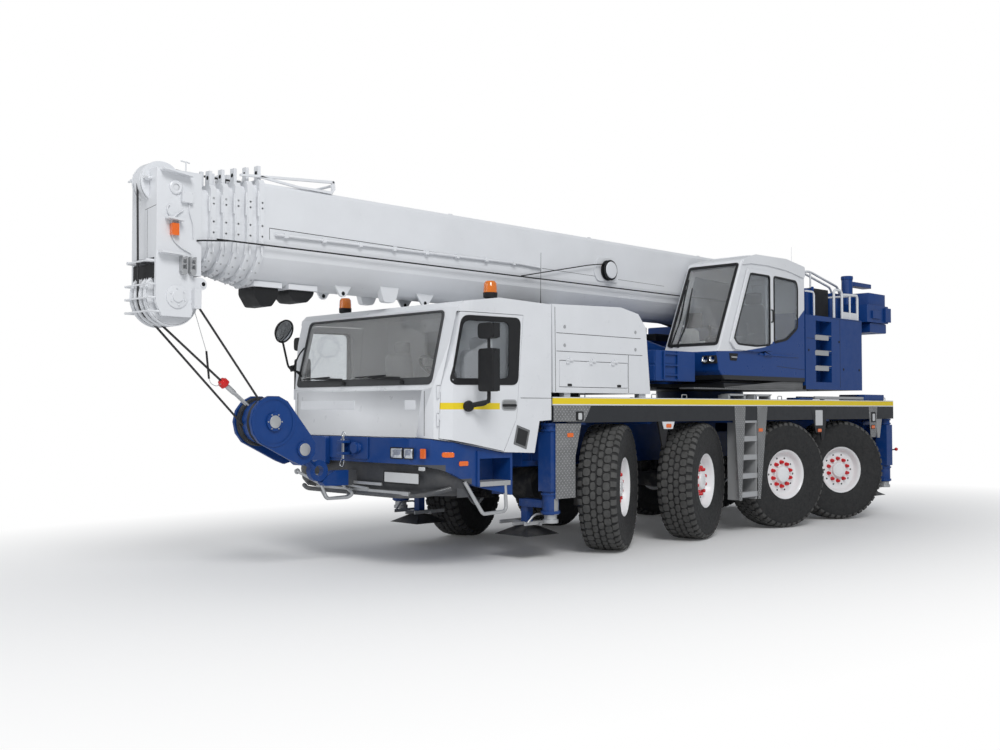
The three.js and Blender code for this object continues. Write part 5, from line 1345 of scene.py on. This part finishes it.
def boom_ring(inset):
    """Points round a section: flat top and flanks, then an ellipse (h cos a, d sin a) below 42 % of the
    height."""
    h, top, low = BOOM_HALF - inset, BOOM_TOP - inset, BOOM_LOW + inset
    mid = low + (top - low) * 0.42
    a = np.linspace(0, np.pi, 25)
    belly = np.stack([-h * np.cos(a), mid - (mid - low) * np.sin(a)], 1)
    return np.concatenate([[(-h + 0.03, top), (-h, top - 0.04)], belly, [(h, top - 0.04), (h - 0.03, top)]])


def section_skin(node, body, inset):
    """The CAD piece with fine edges, and the tops of its two guide plates rounded to 28 mm."""
    def weigh(e):
        """Full weight on the lengthwise edges that lie above the shell's top."""
        high = min(v.co.z for v in e.verts) > BOOM_TOP - inset + 0.15
        along = abs(e.verts[0].co.x - e.verts[1].co.x) > 0.02
        return 1.0 if high and along else 0.15

    return edged(softened(node, body, boom_white, 0, 30), 30, weigh, 0.028)


boom_white = enamel("boom_enamel", WHITE, 0.32, 0.03, 0.3)


def boom_part(name, form, body, edge=0.0, sharp=35):
    """A small white part that is welded or bolted to the boom."""
    return made(name, form, boom_white, body, edge, sharp)


section_skin("boom_base", "boom_base", 0.0)
flank = 0.3502
lines = [groove(3.965, 3.325, 0.58, 3.29, flank), groove(3.965, 3.325, 3.963, 3.215, flank, 0.004),
    groove(0.58, 3.29, -2.2, 3.262, flank, 0.004)]
made("boom_weld", both(lines), shut, "boom_base")
tube_route = rounded([(3.91, 0.372, 3.265), (0.58, 0.372, 3.301), (0.24, 0.372, 3.285),
        (0.24, 0.352, 3.285)], 0.05, 5, False)
saddles = [bar((x - 0.02, 0.349, 3.243 + 0.0108 * (3.91 - x)),
        (x + 0.02, 0.394, 3.287 + 0.0108 * (3.91 - x))) for x in np.linspace(0.7, 3.8, 8)]
boom_part("boom_tube_run", [tube(tube_route, 0.015, 10), *saddles], "boom_base", sharp=50)
made("boom_reel", turned([(0, 0.351), (0.05, 0.351), (0.05, 0.372), (0.125, 0.372), (0.13, 0.38),
        (0.125, 0.388), (0.09, 0.392), (0.09, 0.418), (0.125, 0.42), (0.13, 0.428), (0.125, 0.436),
        (0.05, 0.44), (0, 0.44)], REEL_AT, (0, 1, 0), 40), rubber_black, "boom_base", 0.003)
boom_part("boom_reel_case", [panel(rounded([(-1.2, 3.22), (-0.8, 3.22), (-0.74, 3.32), (-0.8, 3.52),
        (-1.16, 3.54), (-1.24, 3.42)], 0.05, 5), 0.3505, 0.368),
        turned([(0, 0.44), (0.108, 0.44), (0.1, 0.45), (0.04, 0.454), (0, 0.454)], REEL_AT, (0, 1, 0), 24)],
    "boom_base", 0.004)
jib_rest = [panel([(4.274, 3.777), (4.274, 3.8), (3.215, 3.886), (3.205, 3.858)], 0.318, 0.342),
    panel([(3.235, 3.882), (3.205, 3.884), (3.195, 3.8), (3.235, 3.752)], 0.318, 0.342),
    panel([(3.235, 3.752), (3.235, 3.778), (3.63, 3.775), (4.05, 3.815), (4.07, 3.793), (3.64, 3.752)],
        0.318, 0.342), tube([(3.23, -0.3, 3.835), (3.23, 0.33, 3.835)], 0.014, 10)]
boom_part("jib_rest", jib_rest, "boom_base", 0.003)
guides = [bar((x - 0.025, y, 3.749), (x + 0.025, y + 0.025, 3.82)) for y in (-0.07, 0.045)
    for x in (-3.4, -1.0, 1.4, 3.4)]
guides += [tube([(x, -0.06, 3.775), (x, 0.06, 3.775)], 0.01, 10) for x in (-3.4, -1.0, 1.4, 3.4)]
guides += [bar((x - 0.03, 0.1, 3.75), (x + 0.03, 0.16, 3.775)) for x in (-3.9, -2.6, -1.3, 0.0, 1.3, 2.6)]
boom_part("boom_top_guides", guides, "boom_base", 0.003)
rests = [panel(rounded([(3.725, 2.79), (4.0, 2.79), (4.0, 2.72), (3.925, 2.606), (3.8, 2.606), (3.73, 2.7)],
        0.02, 3), -0.14, 0.14), panel(rounded([(3.302, 2.79), (3.606, 2.79), (3.6, 2.74), (3.53, 2.672),
        (3.39, 2.672), (3.32, 2.74)], 0.02, 3), -0.14, 0.14)]
made("boom_rests", rests, rubber_black, "boom_base", 0.006)
boom_part("boom_rest_plates", [bar((3.7, -0.17, 2.786), (4.02, 0.17, 2.84)),
        bar((3.285, -0.17, 2.786), (3.625, 0.17, 2.84))], "boom_base", 0.004)


def lug(x, z, wide, tall, y, thick=0.024, eye=0.022):
    """A plate that narrows downwards to a rounded end, with a bushed eye."""
    plate = panel(rounded([(x - wide / 2, z + tall), (x + wide / 2, z + tall), (x + 0.03, z - 0.035),
            (x - 0.03, z - 0.035)], 0.03, 5), y - thick / 2, y + thick / 2)
    return joined(plate, turned(oblong(eye, eye + 0.014, -thick / 2 - 0.004, thick / 2 + 0.004), (x, y, z),
            (0, 1, 0), 20))


eyes = [(2.98, 2.79, 0.34, 0.18, 0.17), (1.88, 2.765, 0.4, 0.2, 0.17)]
boom_part("boom_lugs", both([lug(*e) for e in eyes]), "boom_base", 0.002)
# The lug eyes are filled with black plugs: painted shade inside the eyes.
made("lug_eyes", both([pin((x, 0, z), 0.0225, y - 0.0125, y + 0.0125, sides=16) for x, z, w, t, y in eyes]),
    hole_shade, "boom_base")
boom_part("boom_saddle", both(panel(rounded([(2.56, 2.98), (2.26, 2.96), (2.3, 2.8), (2.34, 2.735),
        (2.48, 2.735), (2.5, 2.8)], 0.03, 4), 0.14, 0.22)), "boom_base", 0.006)
made("boom_foot_pins", both(turned([(0, 0.4495), (0.075, 0.4495), (0.075, 0.462), (0.045, 0.466),
        (0, 0.466)], BOOM_PIVOT, (0, 1, 0), 28)), black_iron, "boom_base", 0.003)

# ---- Telescoping sections ----
# Five white shells nested inside each other; each nose collar is bolted, with keeper
# plates on its face, a cable along the flank and the hoist rope along the top.
ROPE_LINE = 3.796
rope_dark = mottled("hoist_rope", (380.0, 2.0, 0.5), ((0.018, 0.018, 0.02), (0.06, 0.06, 0.062)),
    (0.45, 0.65), {"Metallic": 0.4}, (0.5, 0.0015))
for i in range(6):
    body = "boom_base" if i == 0 else f"boom_section_{i}"
    inset, front = i * STEP, NOSE + PITCH * i
    if i:
        section_skin(body, body, inset)
    if i < 5:
        rim = boom_ring(inset - 0.022)
        side_y = BOOM_HALF - inset + 0.022
        heads = []
        for k in range(3, 24, 2):
            y, z = rim[k + 1]
            a = math.pi * (k - 1) / 24
            away = np.array([0, -math.cos(a), -math.sin(a) * 0.8])
            heads.append(pin((front - 0.03, y, z), 0.0085, -0.002, 0.006, away, 6))
        for z in (3.548, 3.495, 3.33, 3.23):
            for way in ((0, 1, 0), (0, -1, 0)):
                heads.append(pin((front - 0.03, 0, z), 0.01, side_y - 0.002, side_y + 0.006, way, 6))
        made(f"collar_bolts_{i}", heads, cast_silver, body)
        inner, outer_rim = boom_ring(inset + 0.006), boom_ring(inset - 0.014)
        keepers = []
        for a, b in ((2, 5), (7, 10), (12, 16), (18, 21), (23, 26)):
            flat = np.concatenate([outer_rim[a:b], inner[a:b][::-1]])
            keepers.append(panel(flat, front - 0.001, front + 0.01, "x"))
        for s in (1, -1):
            keepers.append(panel(oblong(s * (side_y - 0.006), s * (side_y - 0.026), 3.66 - inset, 3.42),
                    front - 0.001, front + 0.012, "x"))
        boom_part(f"collar_keepers_{i}", keepers, body, 0.002)
        guide = BOOM_HALF - inset - 0.075
        # Black discs on the collar face: painted shade in the guide holes.
        holes = [pin((front - 0.035, s * guide, BOOM_TOP - inset + 0.095), 0.02, -0.0155, 0.0155, (1, 0, 0),
                18) for s in (1, -1)]
        made(f"guide_holes_{i}", holes, hole_shade, body)
        blade = [(front - 0.004, 3.6 - inset), (front - 0.056, 3.6 - inset), (front - 0.052, 3.42),
            (front - 0.034, 3.05), (front - 0.022, 3.05), (front - 0.006, 3.42)]
        boom_part(f"collar_blades_{i}", both(panel(blade, side_y - 0.004, side_y + 0.006)), body, 0.002)
        boom_part(f"rope_guard_{i}", [bar((front - 0.05, s * 0.045 - 0.012, BOOM_TOP - inset + 0.02),
                (front - 0.012, s * 0.045 + 0.012, 3.825)) for s in (1, -1)], body, 0.003)
    if i:
        path = [(-4.4 + 0.05 * i, 0.387, 3.152), (front, 0.387, 3.152)]
        if i == 5:
            path = [path[0], (4.4, 0.387, 3.152), (4.62, 0.275, 3.145), (4.66, 0.237, 3.142)]
        rubber_part(f"flank_cable_{i}", tube(path, 0.0065 + 0.0002 * i, 8), body, sharp=60)
    if 0 < i < 5:
        made(f"top_rope_{i}", tube([(-4.6 + 0.05 * i, 0, ROPE_LINE), (front, 0, ROPE_LINE)],
                0.008 + 0.0002 * i, 8), rope_dark, body, sharp=60)
rubber_part("reel_cable", pipe([(-1.02, 0.404, 3.452), (-0.6, 0.404, 3.395), (0.6, 0.396, 3.157)], 0.1, 5,
        0.0065, 8), "boom_base", sharp=60)

# ---- Boom head ----
# Welded box of plate with the upper guide sheave, rope guards, a sensor box, an orange
# lamp and bolted hub covers; the hoist rope passes over it and down its front.
UPPER_AXLE = (4.93, 0, 3.65)
LOWER_AXLE = (4.85, 0, 2.62)
HEAD_FACE = 0.2345
HEAD = "boom_section_5"
cover = [turned([(0.05, s * 0.075), (0.198, s * 0.075), (0.2, s * 0.085), (0.198, s * 0.092),
        (0.05, s * 0.092)][::s], UPPER_AXLE, (0, 1, 0), 48) for s in (1, -1)]
boom_part("upper_sheave_cheeks", cover, HEAD, 0.002)
hubs = [turned([(0.03, HEAD_FACE), (0.062, HEAD_FACE), (0.062, 0.248), (0.052, 0.254), (0.03, 0.25)],
        (4.872, 0, 3.6), (0, 1, 0), 32), turned(oblong(0.0, 0.03, HEAD_FACE, 0.243), (4.872, 0, 3.6),
        (0, 1, 0), 24), turned([(0.0, HEAD_FACE), (0.105, HEAD_FACE), (0.105, 0.246), (0.085, 0.252),
        (0, 0.252)], LOWER_AXLE, (0, 1, 0), 40), turned(oblong(0.0, 0.05, 0.252, 0.262), LOWER_AXLE,
        (0, 1, 0), 28)]
hubs += [pin(LOWER_AXLE + 0.075 * np.array([math.cos(a), 0, math.sin(a)]), 0.009, 0.25, 0.26, sides=6)
    for a in 0.4 + all_round(6)]
boom_part("head_hubs", both(hubs), HEAD, 0.002)
boom_part("head_box", [pad(4.712, 4.822, 3.47, 3.573, HEAD_FACE, 0.272, corner=0.006),
        *[pin((x, 0, z), 0.006, 0.271, 0.277, sides=6) for x in (4.725, 4.809) for z in (3.483, 3.56)]],
    HEAD, 0.003)
made("head_lamp", pad(4.857, 4.926, 3.163, 3.271, 0.236, 0.285, corner=0.008), orange_lens, HEAD,
    0.005)
shelf = [panel([(4.82, 3.292), (4.975, 3.305), (4.975, 3.322), (4.82, 3.312)], HEAD_FACE, 0.315),
    panel([(4.83, 2.985), (5.035, 2.995), (5.035, 3.012), (4.83, 3.006)], HEAD_FACE, 0.32),
    panel(oblong(4.845, 4.855, 3.3, 3.16), HEAD_FACE, 0.27),
    panel(rounded([(4.735, 3.7), (5.02, 3.735), (5.02, 3.752), (4.735, 3.722)], 0.004, 2), HEAD_FACE, 0.32)]
boom_part("head_shelves", shelf, HEAD, 0.002)
ladders = []
for x in (4.715, 4.8):
    ladders += [bar((x - 0.031, HEAD_FACE, 2.845), (x - 0.019, 0.285, 2.985)),
        bar((x + 0.019, HEAD_FACE, 2.845), (x + 0.031, 0.285, 2.985))]
    ladders += [pin((x, 0.262, z), 0.011, -0.024, 0.024, (1, 0, 0), 14) for z in (2.865, 2.915, 2.965)]
ladders += [pin((x, 0, 2.842), 0.026, 0.235, 0.29, sides=18) for x in (4.715, 4.8)]
made("head_rollers", ladders, cast_silver, HEAD, 0.002)
head_wires = [pipe([(4.8, 0.243, 3.4), (4.86, 0.25, 3.36), (4.92, 0.25, 3.3), (4.9, 0.25, 3.12),
        (4.8, 0.245, 3.05), (4.72, 0.245, 3.02)], 0.05, 5, 0.006, 8),
    pipe([(4.74, 0.245, 3.47), (4.74, 0.25, 3.38), (4.7, 0.25, 3.28), (4.7, 0.245, 3.16)], 0.04, 5, 0.005,
        8), pipe([(4.93, 0.245, 3.44), (4.96, 0.252, 3.41), (4.95, 0.252, 3.36), (4.92, 0.25, 3.33)], 0.03,
        5, 0.006, 8)]
boom_part("head_wires", head_wires, HEAD, sharp=60)
ear = panel(rounded([(4.7, 2.8), (4.6, 2.815), (4.548, 2.775), (4.55, 2.715), (4.61, 2.69), (4.7, 2.66)],
        0.03, 5), 0.2, 0.2285)
boom_part("head_ear", both([ear, turned(oblong(0.02, 0.032, 0.196, HEAD_FACE), (4.585, 0, 2.752), (0, 1, 0),
        20)]), HEAD, 0.002)
# Black plug in the ear's eye: painted shade inside the hole.
made("ear_holes", both(pin((4.585, 0, 2.752), 0.0205, 0.199, 0.2295, sides=18)), hole_shade, HEAD)
boom_part("limit_box", [pad(4.635, 4.705, 2.52, 2.7, 0.236, 0.29, corner=0.01),
        *[pin((x, 0, z), 0.006, 0.289, 0.295, sides=6) for x in (4.65, 4.69) for z in (2.54, 2.68)]], HEAD,
    0.004)
guards = [tube([(4.98, y, 3.675), (5.12, y, 3.675)], 0.016, 10) for y in (0.13, -0.13)]
guards += [tube([(5.04, y, 2.93), (5.12, y, 2.93)], 0.016, 10) for y in (0.18, -0.18)]
guards += [tube([(x, s * 0.215, z), (5.122, s * 0.215, z)], 0.011, 10)
    for x, z in ((4.9, 2.72), (5.0, 2.48), (5.0, 2.6)) for s in (1, -1)]
guards += [tube([(5.112, -0.22, z), (5.112, 0.22, z)], 0.009, 10) for z in (2.72, 2.6, 2.48)]
guards += [tube([(5.108, -0.19, z), (5.108, 0.19, z)], 0.01, 10) for z in (3.675, 2.93)]
boom_part("rope_guards", guards, HEAD, sharp=50)
made("head_front_lines", [panel([(0.225, 3.42), (0.225, 3.424), (0.02, 3.404), (0.02, 3.4)], 5.0495, 5.0505,
        "x"), panel(oblong(0.06, 0.064, 2.96, 3.4), 5.0495, 5.0505, "x")], shut, HEAD)
made("head_dark_panel", panel(oblong(-0.2, 0.2, 2.772, 2.905), 5.046, 5.0525, "x"), rubber_black, HEAD,
    0.002)
a = np.linspace(math.radians(118), 0, 16)
over = np.stack([UPPER_AXLE[0] + 0.188 * np.cos(a), 0 * a, UPPER_AXLE[2] + 0.188 * np.sin(a)], 1)
under = np.linspace(0, math.radians(-46), 8)
round_low = np.stack([LOWER_AXLE[0] + 0.252 * np.cos(under), 0 * under,
        LOWER_AXLE[2] + 0.252 * np.sin(under)], 1)
made("head_rope", tube(np.concatenate([[(-4.35, 0, ROPE_LINE), (4.55, 0, ROPE_LINE)], over,
        [(5.112, 0, 3.3)], round_low]), 0.01, 10), rope_dark, HEAD, sharp=60)
boom_part("upper_aerial_post", [tube([(4.7, 0.1, 3.75), (4.7, 0.1, 3.878)], 0.006, 8),
        tube([(4.66, 0.1, 3.872), (4.75, 0.1, 3.88)], 0.006, 8)], HEAD, sharp=60)

# ---- Lower head sheaves ----
# Four cast sheaves with rope grooves on one axle, clear-lacquered white.
softened("head_sheaves", "head_sheaves", boom_white, 0.004)
grooves = [turned([(0.2505, y - 0.021), (0.262, y - 0.018), (0.24, y), (0.262, y + 0.018),
        (0.2505, y + 0.021)], LOWER_AXLE, (0, 1, 0), 56) for y in (-0.13, -0.045, 0.045, 0.13)]
made("sheave_rims", grooves, boom_white, "head_sheaves", sharp=40)

# ---- Hoist rope falls ----
# Three taut falls of steel rope reach from the head to the hook block; one ends in a
# socket with a red switch weight above it.


def strung(name, form, finish):
    """A piece between the head sheaves and the hook block, left unparented with its placing baked into the
    mesh.
    """
    obj = made(name, form, finish, "hook_block", sharp=60)
    obj.parent = None
    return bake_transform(obj)


fall_lines = [((5.0, -0.045, 2.459), (3.97, -0.045, 1.436)), ((4.985, 0.045, 2.445), (4.27, 0.045, 1.866)),
    ((4.64, 0.13, 2.635), (3.85, 0.13, 1.602))]
strung("rope_falls", [tube(np.linspace(p, q, 24), 0.011, 10) for p, q in fall_lines], rope_dark)
pull = np.linspace((4.66, 0.2, 2.52), (4.485, 0.12, 2.14), 12)
loop = rounded([(4.455, 0.11, 1.905), (4.43, 0.105, 1.85), (4.36, 0.09, 1.825), (4.3, 0.07, 1.85),
        (4.275, 0.05, 1.875)], 0.05, 5, False)
strung("switch_wire", [tube(pull, 0.003, 6), tube(loop, 0.003, 6)], cast_silver)
strung("switch_weight", tube(np.linspace((4.487, 0.12, 2.15), (4.452, 0.11, 1.895), 8), 0.01, 10),
    rubber_black)

# ---- Hook block ----
# Blue cheeks on two sheaves; the dead end's socket, its pin and the red stop are
# pinned to the block's crown.
hook_paint = enamel("hook_enamel", BLUE, 0.34, 0.15, 0.1)
softened("hook_block", "hook_block", hook_paint, 0.006)
block_tilt = math.radians(38.7)
block_way = np.array([math.cos(block_tilt), 0, math.sin(block_tilt)])
crown = [3.62, 0, 1.36] + 0.21 * block_way
hook_axle = [3.62, 0, 1.36] - 0.23 * block_way
discs = [turned([(0.1, y - 0.03), (0.236, y - 0.03), (0.24, y - 0.024), (0.214, y), (0.24, y + 0.024),
        (0.236, y + 0.03), (0.1, y + 0.03)], crown, (0, 1, 0), 48) for y in (-0.092, 0.092)]
made("hook_sheaves", discs, black_iron, "hook_block", sharp=40)
hook_caps = [turned([(0, 0.1895), (0.062, 0.1895), (0.062, 0.198), (0.04, 0.204), (0, 0.204)], c, (0, 1, 0),
        28) for c in (crown, hook_axle)]
hook_caps += [pin(crown + 0.076 * np.array([math.cos(b), 0, math.sin(b)]), 0.008, 0.1895, 0.197, sides=6)
    for b in all_round(6)]
rim_plate = [turned(oblong(0.215, 0.245, 0.1645, 0.172), crown, (0, 1, 0), 48)]
made("hook_caps", both(hook_caps), cast_silver, "hook_block", 0.002)
made("hook_rims", both(rim_plate), hook_paint, "hook_block", 0.002)
along = np.array([math.cos(math.radians(39)), 0, math.sin(math.radians(39))])
sock = np.array([4.02, 0.045, 1.664])
made("rope_socket", [turned([(0, 0.0), (0.014, 0.0), (0.016, 0.14), (0.024, 0.17), (0.026, 0.25),
        (0.016, 0.29), (0, 0.29)], sock, along, 18), tube([sock + [0, 0.024, 0] - along * 0.02,
        sock + [0, 0.024, 0] + along * 0.16], 0.009, 8),
        tube([sock - [0, 0.024, 0] - along * 0.02, sock - [0, 0.024, 0] + along * 0.16], 0.009, 8)],
    cast_silver, "hook_block", 0.001, 50)
red = enamel("stop_red", (0.62, 0.012, 0.01), 0.35, 0.0, 0.3)
stop = np.array([4.266, 0.045, 1.863])
cube = turned([(0, -0.036), (0.046, -0.036), (0.052, -0.026), (0.052, 0.01), (0.04, 0.02), (0.034, 0.036),
        (0, 0.036)], stop, along, 8)
made("rope_stop", [cube, tube([stop + [0.0, -0.05, 0.02], stop + [0.0, 0.05, 0.02]], 0.012, 8)], red,
    "hook_block", 0.003)

# ---- Studio: floor, light and camera ----
# A plain pale floor, a broad soft key lamp high on the left, a weaker fill, and a
# camera at eye height off the left front corner.
floor_mesh = bpy.data.meshes.new("studio_floor")
floor_mesh.from_pydata([(-60, -60, 0), (60, -60, 0), (60, 60, 0), (-60, 60, 0)], [], [(0, 1, 2, 3)])
floor = bpy.data.objects.new("studio_floor", floor_mesh)
bpy.context.scene.collection.objects.link(floor)
floor_white = bpy.data.materials.new("floor_white")
tree, shader, where = wires(floor_white)
shader.inputs["Base Color"].default_value = (0.9, 0.9, 0.9, 1)
shader.inputs["Roughness"].default_value = 0.9
rays = tree.nodes.new("ShaderNodeLightPath")
looked = sums(tree, "MAXIMUM", rays.outputs["Is Camera Ray"], rays.outputs["Is Transmission Ray"])
flat = tree.nodes.new("ShaderNodeVectorMath")
flat.operation = "MULTIPLY"
flat.inputs[1].default_value = (0.5, 1.0, 0.0)
tree.links.new(where, flat.inputs[0])
far = tree.nodes.new("ShaderNodeVectorMath")
far.operation = "LENGTH"
tree.links.new(flat.outputs[0], far.inputs[0])
fade = sums(tree, "MULTIPLY", spread(tree, far.outputs["Value"], 2.6, 6.4, 0.04, 1.0), looked)
glow = tree.nodes.new("ShaderNodeEmission")
glow.inputs[0].default_value = (1, 1, 1, 1)
glow.inputs[1].default_value = 1.0
blended = tree.nodes.new("ShaderNodeMixShader")
tree.links.new(fade, blended.inputs[0])
tree.links.new(shader.outputs[0], blended.inputs[1])
tree.links.new(glow.outputs[0], blended.inputs[2])
tree.links.new(blended.outputs[0], tree.nodes["Material Output"].inputs["Surface"])
floor_mesh.materials.append(floor_white)

world = bpy.data.worlds.new("studio")
bpy.context.scene.world = world
world.use_nodes = True
sky = world.node_tree
for node in list(sky.nodes):
    sky.nodes.remove(node)
path = sky.nodes.new("ShaderNodeLightPath")
seen = sums(sky, "MAXIMUM", path.outputs["Is Camera Ray"], path.outputs["Is Transmission Ray"])
white, soft = sky.nodes.new("ShaderNodeBackground"), sky.nodes.new("ShaderNodeBackground")
white.inputs[0].default_value, white.inputs[1].default_value = (1, 1, 1, 1), 1.0
soft.inputs[0].default_value, soft.inputs[1].default_value = (0.93, 0.96, 1.0, 1), 0.44
choose, out = sky.nodes.new("ShaderNodeMixShader"), sky.nodes.new("ShaderNodeOutputWorld")
sky.links.new(seen, choose.inputs[0])
sky.links.new(soft.outputs[0], choose.inputs[1])
sky.links.new(white.outputs[0], choose.inputs[2])
sky.links.new(choose.outputs[0], out.inputs[0])


def lamp(name, place, aim, size, power):
    """A square soft lamp that faces its aim point."""
    data = bpy.data.lights.new(name, "AREA")
    data.size, data.energy = size, power
    obj = bpy.data.objects.new(name, data)
    bpy.context.scene.collection.objects.link(obj)
    obj.location = place
    obj.rotation_euler = (Vector(aim) - Vector(place)).to_track_quat("-Z", "Y").to_euler()


lamp("key", (12, 16, 17), (0, 0, 1), 9.0, 2900)
lamp("fill", (20, -6, 9), (1, 0, 1.5), 10.0, 520)

eye = bpy.data.cameras.new("front_left_eye")
camera = bpy.data.objects.new("front_left_eye", eye)
bpy.context.scene.collection.objects.link(camera)
eye.sensor_width, eye.lens = 36.0, 36.0 * 1093.117 / 1000.0
eye.clip_start, eye.clip_end = 0.1, 200.0
yaw, tilt = math.radians(225.2971), math.radians(1.793)
camera.location = (9.6534 + FRONT_AXLE, 9.1966, 1.613)
look = Vector((math.cos(yaw) * math.cos(tilt), math.sin(yaw) * math.cos(tilt), math.sin(tilt)))
camera.rotation_euler = look.to_track_quat("-Z", "Y").to_euler()
bpy.context.scene.camera = camera
bpy.context.scene.view_settings.view_transform = "Standard"
